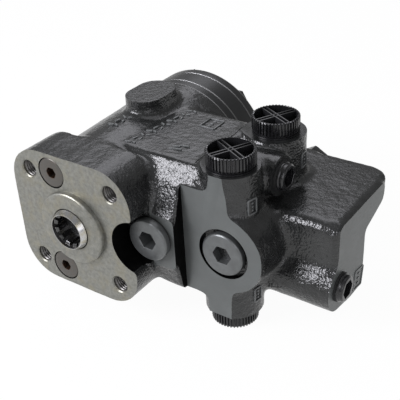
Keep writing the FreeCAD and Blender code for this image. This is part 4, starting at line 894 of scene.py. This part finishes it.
def boring_tools(machined):
    """Cutters for the bores whose mouths are seen."""
    relief, priority = on_flange(RELIEF), on_flange(PRIORITY)
    tools = [
        cylinder(machined.notch_radius, -LONG_LEAD, machined.notch_face, relief,
                 segments=LARGE_ROUND),
        cylinder(RELIEF_BORE, 0, RELIEF_BORE_END, relief),
        cylinder(machined.spigot_bore, -LONG_LEAD, SPIGOT_BORE_END, STEERING_AXIS),
    ]
    sink = machined.countersink - machined.tap_minor
    for hole in column_holes(machined):
        tools.append(cylinder(
            machined.tap_major, -LEAD, machined.tap_depth, hole, segments=SMALL_ROUND))
        tools.append(cylinder(
            machined.countersink + sink * 0.5, -sink * 0.5, sink, hole,
            segments=SMALL_ROUND, tip=machined.tap_minor))
    for axis in (SHOCK_UPPER, SHOCK_LOWER):
        tools.append(cylinder(SHOCK_BORE, -LEAD, SHOCK_BORE_END, on_flange(axis)))
    tools.append(cylinder(
        machined.priority_recess, RECESS_START, RECESS_END, priority, segments=LARGE_ROUND))
    bore = machined.port_bore
    for _, centre, direction in port_places():
        tools.append(cylinder(bore, -PORT_CUT, LEAD, centre, direction))
        tools.append(cylinder(
            bore, -PORT_CHAMFER, PORT_CHAMFER, centre, direction, tip=bore + PORT_SPARE))
    return tools


def off_axis(point, axis):
    """Distance of a point from a line along Y."""
    return math.hypot(point.x - axis.x, point.z - axis.z)


def sort_finishes(bm, machined):
    """Give each face the finish of the cast skin or of its cutter."""
    bores = column_holes(machined) + [SHOCK_UPPER, SHOCK_LOWER]
    rows = milled_faces(machined)
    for face in bm.faces:
        centre = face.calc_center_median()
        name = "cast_paint"
        for row in rows:
            if lies_on(face, row):
                name = row[-1]
        # The walls of the relief notch, the priority recess and the valve face's step get
        # near-black paint as painted shade.
        notch_wall = (
            centre.y < machined.notch_face - STEP_REACH
            and abs(off_axis(centre, RELIEF) - machined.notch_radius) < WALL_REACH)
        recess_wall = (
            machined.valve_face < centre.y < RECESS_END + 0.5 * MM
            and abs(off_axis(centre, PRIORITY) - machined.priority_recess) < WALL_REACH)
        on_step = abs(centre.x - machined.valve_face_left) < STEP_REACH
        if notch_wall or recess_wall or (on_step and face.normal.x > STEP_FACING):
            name = "shaded_paint"
        if name == "cast_paint" and centre.y < machined.tap_depth - WALL_REACH:
            if min(off_axis(centre, bore) for bore in bores) < BORE_REACH:
                name = "bare_iron"
        face.material_index = CAST_FINISHES.index(name)


def mark_level_skin(bm):
    """Note on each vertex how level the skin lies, where the sand packs finer."""
    bm.normal_update()
    layer = bm.verts.layers.float.new("level_skin")
    for vert in bm.verts:
        vert[layer] = min(1.0, max(0.0, (vert.normal.z - LEVEL_FROM) / (LEVEL_FULL - LEVEL_FROM)))


class STEERING_OT_casting(bpy.types.Operator):
    """Blend the housing as cast, then mill its faces and bore its holes"""
    bl_idname = "steering.casting"
    bl_label = "Casting"

    def execute(self, context):
        sizes, machined = settings().casting, settings().machined
        bm = blended(raw_casting(sizes, machined), sizes)
        bm = carve(bm, milling_tools(machined, sizes.stock) + boring_tools(machined))
        sort_finishes(bm, machined)
        mark_level_skin(bm)
        materials = [finish(name) for name in CAST_FINISHES]
        finish_piece(
            bm, "casting", "root", materials, "cast_black", ["housing"], CASTING_SHADED_FROM)
        return {"FINISHED"}


# How far the spigot reaches into the casting, and the chamfer of its mouth, in millimetres
SPIGOT_SEAT = 1.2
MOUTH_CHAMFER = 0.25
# The spigot's rounded edge: distance inside its rim, and behind its front
SPIGOT_EDGE = ((0, 0.8), (0.15, 0.55), (0.7, 0.06), (0.9, 0))


class STEERING_OT_spigot(bpy.types.Operator):
    """Turn the raised spigot that locates the steering column"""
    bl_idname = "steering.spigot"
    bl_label = "Spigot"

    def execute(self, context):
        machined = settings().machined
        outer, inner = machined.spigot_radius / MM, machined.spigot_bore / MM
        mouth = machined.spigot_mouth / MM
        front = -SPIGOT_FRONT / MM
        lip = front - machined.mouth_length / MM
        outline = [(inner, -SPIGOT_SEAT), (outer, -SPIGOT_SEAT)]
        outline += [(outer - inside, front - behind) for inside, behind in SPIGOT_EDGE]
        outline += [
            (mouth + MOUTH_CHAMFER, front), (mouth, front - MOUTH_CHAMFER), (mouth, lip),
            (inner, lip)]
        bm = lathe(outline, LARGE_ROUND)
        place_along(bm, STEERING_AXIS, "-Y")
        finish_piece(bm, "spigot", "root", [finish("bare_iron")], "cast_black", ["housing"])
        return {"FINISHED"}


# The ridge's flat crest and its width as shares of the pitch, and how deep it roots
CREST_FROM, CREST_TO, RIDGE_WIDTH = 0.42, 0.56, 0.98
RIDGE_ROOT = 0.05 * MM
STEPS_PER_TURN = 28


class STEERING_OT_column_threads(bpy.types.Operator):
    """Wind the thread of the four tapped holes in the flange"""
    bl_idname = "steering.column_threads"
    bl_label = "Column threads"

    def execute(self, context):
        machined = settings().machined
        crest, pitch = machined.tap_minor, machined.tap_pitch
        root = machined.tap_major + RIDGE_ROOT
        start = machined.countersink - machined.tap_minor
        turns = int((machined.tap_depth - start) / pitch) - 1
        section = (
            (root, 0.0), (crest, pitch * CREST_FROM), (crest, pitch * CREST_TO),
            (root, pitch * RIDGE_WIDTH))
        shapes = []
        for hole in column_holes(machined):
            bm = bmesh.new()
            points = [bm.verts.new((radius, 0, height)) for radius, height in section]
            edges = [bm.edges.new(pair) for pair in zip(points, points[1:] + points[:1])]
            bmesh.ops.spin(
                bm, geom=points + edges, cent=(0, 0, 0), axis=(0, 0, 1),
                dvec=(0, 0, pitch / STEPS_PER_TURN), angle=2 * math.pi * turns,
                steps=STEPS_PER_TURN * turns, use_merge=False, use_duplicate=False)
            bmesh.ops.holes_fill(bm, edges=bm.edges, sides=0)
            bmesh.ops.recalc_face_normals(bm, faces=bm.faces)
            place_along(bm, hole + AXES["+Y"] * start, "+Y")
            shapes.append(bm)
        finish_piece(
            joined(shapes), "column_threads", "root", [finish("thread_steel")], "cast_black",
            ["housing"], THREADS_SHADED_FROM)
        return {"FINISHED"}


# Transit caps, in millimetres

# The shank's tip, and its thread: depth, start, pitch, ridges and the section of a ridge
SHANK_TAPER, SHANK_LEAD = 1.2, 0.4
CAP_THREAD_DEPTH, CAP_THREAD_START, CAP_PITCH, CAP_RIDGES = 0.9, 1.0, 1.8, 4
CAP_RIDGE = ((1, 0.0), (0, 0.6), (0, 0.8), (1, 1.4))
# The collar and the groove over it: distance inside the rim, and height
CAP_COLLAR = ((0.25, -0.02), (0.05, 0.2), (0.05, 1.0), (0.9, 1.15), (0.9, 1.6), (0.1, 1.8), (0, 2))
# The rim's rounded edge: distance inside the rim, and below the top
CAP_RIM = ((0, 0.55), (0.35, 0.1), (0.6, 0))
# The cup's edge: distance outside its wall, and below the top; and the slope to its floor
CUP_EDGE, CUP_SLOPE = ((0.15, 0), (0, 0.2)), 0.5
# The knurled band, and the flute's part of each rib's share of the rim
KNURL_STEPS, KNURLED_INSIDE, KNURLED_FROM = 6, 0.7, 1.9
FLUTE_FROM, FLUTE_TO = 0.3, 0.7
RIB_OVERLAP, RIB_EDGE = 0.3, 0.25
# The moulding nub in the cup: its place beside the ribs, height and radii
NUB_ASIDE, NUB_BELOW, NUB_HEIGHT, NUB_RADIUS, NUB_TIP, NUB_SIDES = 4.2, 3.4, 3.2, 1.9, 1.5, 24


def cap_outline(sizes):
    """Outline of a cap's shank, collar and cup."""
    outer, height, floor = sizes.radius / MM, sizes.height / MM, sizes.floor / MM
    inner = outer - sizes.wall / MM
    shank, deep = sizes.shank / MM, sizes.shank_length / MM
    root = shank - CAP_THREAD_DEPTH
    outline = [(0, -deep), (shank - SHANK_TAPER, -deep), (root, SHANK_LEAD - deep)]
    for number in range(CAP_RIDGES):
        start = CAP_THREAD_START - deep + CAP_PITCH * number
        outline += [(root if low else shank, start + along) for low, along in CAP_RIDGE]
    outline.append((root, CAP_COLLAR[0][1]))
    outline += [(outer - inside, level) for inside, level in CAP_COLLAR]
    outline += [(outer - inside, height - below) for inside, below in CAP_RIM]
    outline += [(inner + outside, height - below) for outside, below in CUP_EDGE]
    return outline + [(inner, floor + CUP_SLOPE), (inner - CUP_SLOPE, floor), (0, floor)]


def cap_shape(sizes):
    """A knurled cup on a threaded shank, with two pairs of crossed ribs."""
    bm = lathe(cap_outline(sizes), sizes.knurls * KNURL_STEPS)
    knurl = 2 * math.pi / sizes.knurls
    for vert in bm.verts:
        radius = math.hypot(vert.co.x, vert.co.y)
        if radius > sizes.radius - KNURLED_INSIDE * MM and vert.co.z > KNURLED_FROM * MM:
            phase = math.atan2(vert.co.y, vert.co.x) / knurl % 1.0
            if FLUTE_FROM < phase < FLUTE_TO:
                vert.co.xy *= (radius - sizes.knurl_depth) / radius
    overlap = RIB_OVERLAP * MM
    near, far = sizes.rib_gap / 2, sizes.rib_gap / 2 + sizes.rib
    top, bottom = sizes.height - overlap, sizes.floor - overlap
    long = sizes.radius - sizes.wall + overlap
    shapes = [bm]
    for low_side, high_side in ((near, far), (-far, -near)):
        for rib in (
            slab((-long, low_side, bottom), (long, high_side, top)),
            slab((low_side, -long, bottom), (high_side, long, top)),
        ):
            bevel(rib, list(rib.edges), RIB_EDGE * MM)
            shapes.append(rib)
    nub = Vector((far + NUB_ASIDE * MM, -far - NUB_BELOW * MM, 0))
    shapes.append(cylinder(
        NUB_RADIUS * MM, bottom, sizes.floor + NUB_HEIGHT * MM, nub, "+Z", NUB_SIDES,
        NUB_TIP * MM))
    return joined(shapes)


class STEERING_OT_port_caps(bpy.types.Operator):
    """Mould the transit caps that close the five ports"""
    bl_idname = "steering.port_caps"
    bl_label = "Port caps"

    def execute(self, context):
        for node, centre, direction in port_places():
            bm = cap_shape(settings().caps)
            place_along(bm, centre, direction, math.radians(CAPS[node][1]))
            finish_piece(
                bm, node.replace("port_cap", "transit_cap"), body_of_node(node),
                [finish("cap_plastic")], "cap_plastic", [node], CAPS_SHADED_FROM)
        return {"FINISHED"}


# Marks left by the foundry, in millimetres

# A stroke's depth into the casting, its height over it, and its rounded edge
STROKE_DEPTH, STROKE_HEIGHT, STROKE_EDGE = 0.8, 0.85, 0.3
FLAT_TOP = 41.4
# Rows of paired strokes: first and last place, level and number of pairs
MARK_ROWS = (((17, 35), (24, 84), FLAT_TOP, 10), ((-3.5, 45), (-2, 62), 43.1, 4))
# Lean of every third pair in degrees; each stroke's place in its pair, length and sense
MARK_LEANS = (12, 78, -30)
MARK_PAIR = ((-1.6, 0.0, 3.8, 1), (1.8, 0.8, 2.6, -1))
MARK_WIDTH = 1.1
# Dashes beside the rows: x, y and length
DASHES = ((43.5, 40.6, 8.0), (42.5, 43.4, 4.6), (46.4, 45.8, 5.4))
DASH_WIDTH, DASH_LEAN = 1.0, math.radians(12)
# Plates: the bars' width; the pips' places, length and width as shares of the plate's and bars'
PLATE_BAR = 0.9
PIP_PLACES, PIP_LENGTH, PIP_WIDTH = (-0.25, 0.0, 0.25), 0.22, 1.3
# Plates on the upright port bosses: y, boss radius, direction in degrees and z
BOSS_X = 80.3
BOSS_PLATES = ((39.3, 15.6, -16, 24), (85.5, 17.2, 4, 28), (39.3, 16.7, -8, -33))
BOSS_SINK, BOSS_PLATE = 0.3, (5.5, 8.5)
# Plates on the flat top and on the block's end: place, then length and height
TOP_PLATE = (44, 76, FLAT_TOP), (9.5, 11)
END_PLATE = (136.7, 79.5, -34), (10.5, 12)
END_PLATE_ALONG = Vector((0, 1, -0.16)).normalized()


def stroke(place, across, out, long, wide, turn):
    """A short raised bar on a surface; across and out are unit vectors on it."""
    bm = slab(
        mm(-long / 2, -wide / 2, -STROKE_DEPTH), mm(long / 2, wide / 2, STROKE_HEIGHT))
    bevel(bm, list(bm.edges), STROKE_EDGE * MM)
    facing = Matrix((across, out.cross(across), out)).transposed().to_4x4()
    matrix = Matrix.Translation(place) @ facing @ Matrix.Rotation(turn, 4, "Z")
    bmesh.ops.transform(bm, matrix=matrix, verts=bm.verts)
    return bm


def plate_outline(place, across, out, long, high):
    """Four bars that frame a plain plate, with a row of pips inside."""
    up = out.cross(across) * MM
    bars = []
    for side in (-0.5, 0.5):
        bars.append(stroke(place + up * high * side, across, out, long, PLATE_BAR, 0.0))
        bars.append(stroke(
            place + across * MM * long * side, across, out, high, PLATE_BAR, math.pi / 2))
    for share in PIP_PLACES:
        bars.append(stroke(
            place + up * high * share, across, out, long * PIP_LENGTH, PLATE_BAR * PIP_WIDTH,
            0.0))
    return bars


class STEERING_OT_cast_marks(bpy.types.Operator):
    """Raise plain dashes and pips on the casting, where a foundry leaves marks"""
    bl_idname = "steering.cast_marks"
    bl_label = "Cast marks"

    def execute(self, context):
        up, right = AXES["+Z"], AXES["+X"]
        bars = []
        for start, end, level, pairs in MARK_ROWS:
            for number in range(pairs):
                share = number / (pairs - 1)
                x = start[0] + (end[0] - start[0]) * share
                y = start[1] + (end[1] - start[1]) * share
                lean = math.radians(MARK_LEANS[number % 3])
                for aside, ahead, long, sense in MARK_PAIR:
                    place = mm(x + aside, y + ahead, level)
                    bars.append(stroke(place, right, up, long, MARK_WIDTH, lean * sense))
        for x, y, long in DASHES:
            bars.append(stroke(mm(x, y, FLAT_TOP), right, up, long, DASH_WIDTH, DASH_LEAN))
        for (place, size), across, out in (
            (TOP_PLATE, right, up), (END_PLATE, END_PLATE_ALONG, right),
        ):
            bars += plate_outline(mm(*place), across, out, *size)
        for y, radius, degrees, z in BOSS_PLATES:
            out = Vector((math.cos(math.radians(degrees)), math.sin(math.radians(degrees)), 0))
            place = mm(BOSS_X, y, z) + out * (radius - BOSS_SINK) * MM
            bars += plate_outline(place, Vector((-out.y, out.x, 0)), out, *BOSS_PLATE)
        # The marks take the lighter paint that stands for painted highlight.
        finish_piece(
            joined(bars), "cast_marks", "root", [finish("mark_paint")], "cast_black",
            ["housing"])
        return {"FINISHED"}


# Pieces whose CAD shape is right and only needs edges and a finish

DISCS = ("distributor_plate", "gear_ring", "end_cover")
# Width of the rounded edges in millimetres
EDGE_WIDTH = {
    "relief_plug": 0.25, "priority_plug": 0.25, "priority_spring_plug": 0.4,
    "gauge_plug": 0.35, "end_plug": 0.35, "shock_plug_upper": 0.2, "shock_plug_lower": 0.2,
    "distributor_plate": 0.6, "gear_ring": 0.6, "end_cover": 0.6, "cover_screws": 0.3,
    "pin_screw": 0.3, "cover_washers": 0.15, "spool": 0.12,
}
# How far inside the gear ring's rim an edge still belongs to the rim
RIM_REACH = 0.1 * MM
# Degrees between faces up to which they are joined
FLAT_LIMIT = 0.8


def rim_edges(bm):
    """The sharp edges round the outside of a disc on the steering axis."""
    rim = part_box("gear_ring")[1].x - RIM_REACH
    return [
        edge for edge in sharp_edges(bm)
        if all(off_axis(vert.co, STEERING_AXIS) > rim for vert in edge.verts)]


class STEERING_OT_turned_pieces(bpy.types.Operator):
    """Give the plugs, discs, screws, seals and inner pieces their edges and finishes"""
    bl_idname = "steering.turned_pieces"
    bl_label = "Turned pieces"

    def execute(self, context):
        for node in sorted(set(frame["nodes"]) - {"housing", *CAPS}):
            bm = cad_copy(node)
            slot = SLOT_OF[node]
            own = "nose_steel" if node == "spool" else FINISH_OF_SLOT.get(slot, slot)
            materials = [finish(own)]
            width = EDGE_WIDTH.get(node, 0.0) * MM
            if node in DISCS:
                # Their rounded rims get bare steel as painted highlight lines.
                for face in bevel(bm, rim_edges(bm), width):
                    face.material_index = 1
                materials.append(finish("worn_edge"))
            else:
                bmesh.ops.dissolve_limit(
                    bm, angle_limit=math.radians(FLAT_LIMIT), verts=bm.verts, edges=bm.edges,
                    use_dissolve_boundaries=False)
                if width:
                    bevel(bm, sharp_edges(bm), width)
            finish_piece(
                bm, node + "_dressed", body_of_node(node), materials, slot, [node],
                TURNED_SHADED_FROM)
        return {"FINISHED"}


# Floor, lights and camera

# Half the floor's side, its gap below the unit, and how much of its seen light is its own
FLOOR_HALF = 40.0
FLOOR_GAP = 0.05 * MM
FLOOR_GLOW = 0.96
FLOOR_COLOUR = (0.86, 0.86, 0.86)
FLOOR_ROUGHNESS = 0.9
# Name, place and size of each soft light; its power is the setting by that name
LIGHTS = (
    ("key", (-0.58, -0.83, 0.64), 0.72),
    ("fill", (0.95, -0.35, 0.35), 0.6),
    ("front", (0.62, -0.86, 0.42), 0.3),
    ("back", (-0.40, 0.66, 0.80), 0.7),
    ("top", (0.1, 0.35, 1.0), 0.8),
)
LIGHT_COLOUR = (0.94, 0.94, 1.0)
SENSOR_WIDTH = 36.0
CLIP_START = 0.01


class STEERING_OT_stage(bpy.types.Operator):
    """Set the pale floor, the soft lights and the photograph's camera"""
    bl_idname = "steering.stage"
    bl_label = "Stage"

    def execute(self, context):
        stage = settings().stage
        self.make_floor()
        self.make_world(stage)
        for name, place, size in LIGHTS:
            self.make_light(name + "_light", Vector(place), size, getattr(stage, name))
        self.make_camera(stage)
        bpy.context.scene.view_settings.view_transform = "Standard"
        return {"FINISHED"}

    def make_floor(self):
        """A floor that the camera and mirrors see as pale, and light meets as matt."""
        bm = bmesh.new()
        bmesh.ops.create_grid(bm, x_segments=1, y_segments=1, size=FLOOR_HALF)
        bmesh.ops.translate(bm, vec=(0, 0, cad_box[0][2] - FLOOR_GAP), verts=bm.verts)
        material = bpy.data.materials.new("floor")
        material.use_nodes = True
        made = Nodes(material.node_tree)
        made.surface(FLOOR_COLOUR, FLOOR_ROUGHNESS)
        path = made.new("LightPath")
        seen = path.outputs["Is Camera Ray"]
        for name in ("Is Glossy Ray", "Is Transmission Ray"):
            seen = made.math("MAXIMUM", seen, path.outputs[name])
        mix = made.new("MixShader")
        made.link(made.math("MULTIPLY", seen, FLOOR_GLOW), mix.inputs[0])
        made.link(made.shader.outputs[0], mix.inputs[1])
        made.link(made.new("Emission").outputs[0], mix.inputs[2])
        made.link(mix.outputs[0], made.tree.nodes["Material Output"].inputs["Surface"])
        floor = new_object(bm, "floor", [material])
        floor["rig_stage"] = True

    def make_world(self, stage):
        world = bpy.data.worlds.new("studio")
        bpy.context.scene.world = world
        world.use_nodes = True
        plain = world.node_tree.nodes["Background"]
        plain.inputs["Color"].default_value = (1, 1, 1, 1)
        plain.inputs["Strength"].default_value = stage.ambient

    def make_light(self, name, place, size, power):
        light = bpy.data.lights.new(name, "AREA")
        light.shape = "DISK"
        light.size = size
        light.energy = power
        light.color = LIGHT_COLOUR
        thing = bpy.data.objects.new(name, light)
        thing.location = place
        to_unit = middle("housing") - place
        thing.rotation_euler = to_unit.to_track_quat("-Z", "Y").to_euler()
        bpy.context.scene.collection.objects.link(thing)

    def make_camera(self, stage):
        data = bpy.data.cameras.new("camera")
        data.sensor_fit = "HORIZONTAL"
        data.sensor_width = SENSOR_WIDTH
        data.lens = stage.lens
        data.clip_start = CLIP_START
        around, over = stage.azimuth, stage.elevation
        right = Vector((math.cos(around), math.sin(around), 0))
        back = Vector((
            math.sin(around) * math.cos(over), -math.cos(around) * math.cos(over),
            math.sin(over)))
        up = back.cross(right)
        tilt_right = right * math.cos(stage.roll) + up * math.sin(stage.roll)
        tilt_up = up * math.cos(stage.roll) - right * math.sin(stage.roll)
        camera = bpy.data.objects.new("camera", data)
        turned = Matrix((tilt_right, tilt_up, back)).transposed().to_4x4()
        camera.matrix_world = Matrix.Translation(Vector(stage.camera_place)) @ turned
        bpy.context.scene.collection.objects.link(camera)
        bpy.context.scene.camera = camera


# Registration

class SteeringUnit(bpy.types.PropertyGroup):
    casting: PointerProperty(
        type=CastingSizes, name="Casting", description="Sizes of the cast skin")
    machined: PointerProperty(
        type=MachinedSizes, name="Machined faces", description="Sizes of the milled faces")
    caps: PointerProperty(
        type=CapSizes, name="Transit caps", description="Sizes of the transit caps")
    colours: PointerProperty(
        type=FinishColours, name="Colours", description="Colours of the finishes")
    stage: PointerProperty(type=StageSettings, name="Stage", description="Camera and lights")


OPERATORS = (
    STEERING_OT_stage, STEERING_OT_casting, STEERING_OT_spigot, STEERING_OT_column_threads,
    STEERING_OT_port_caps, STEERING_OT_cast_marks, STEERING_OT_turned_pieces,
)


class STEERING_PT_panel(bpy.types.Panel):
    """Lists the pieces of the steering unit"""
    bl_idname = "STEERING_PT_panel"
    bl_label = "Steering Unit"
    bl_space_type = "VIEW_3D"
    bl_region_type = "UI"
    bl_category = "Steering Unit"

    def draw(self, context):
        for operator in OPERATORS:
            self.layout.operator(operator.bl_idname)


CLASSES = (
    CastingSizes, MachinedSizes, CapSizes, FinishColours, StageSettings, SteeringUnit,
) + OPERATORS + (STEERING_PT_panel,)


def register():
    for cls in CLASSES:
        bpy.utils.register_class(cls)
    bpy.types.Scene.steering_unit = PointerProperty(type=SteeringUnit)


def unregister():
    del bpy.types.Scene.steering_unit
    for cls in reversed(CLASSES):
        bpy.utils.unregister_class(cls)


def main():
    register()
    bpy.ops.steering.stage()
    bpy.ops.steering.casting()
    bpy.ops.steering.spigot()
    bpy.ops.steering.column_threads()
    bpy.ops.steering.port_caps()
    bpy.ops.steering.cast_marks()
    bpy.ops.steering.turned_pieces()
    boxes = [[list(corner) for corner in box] for box in (cad_box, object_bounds())]


if __name__ == "__main__":
    main()
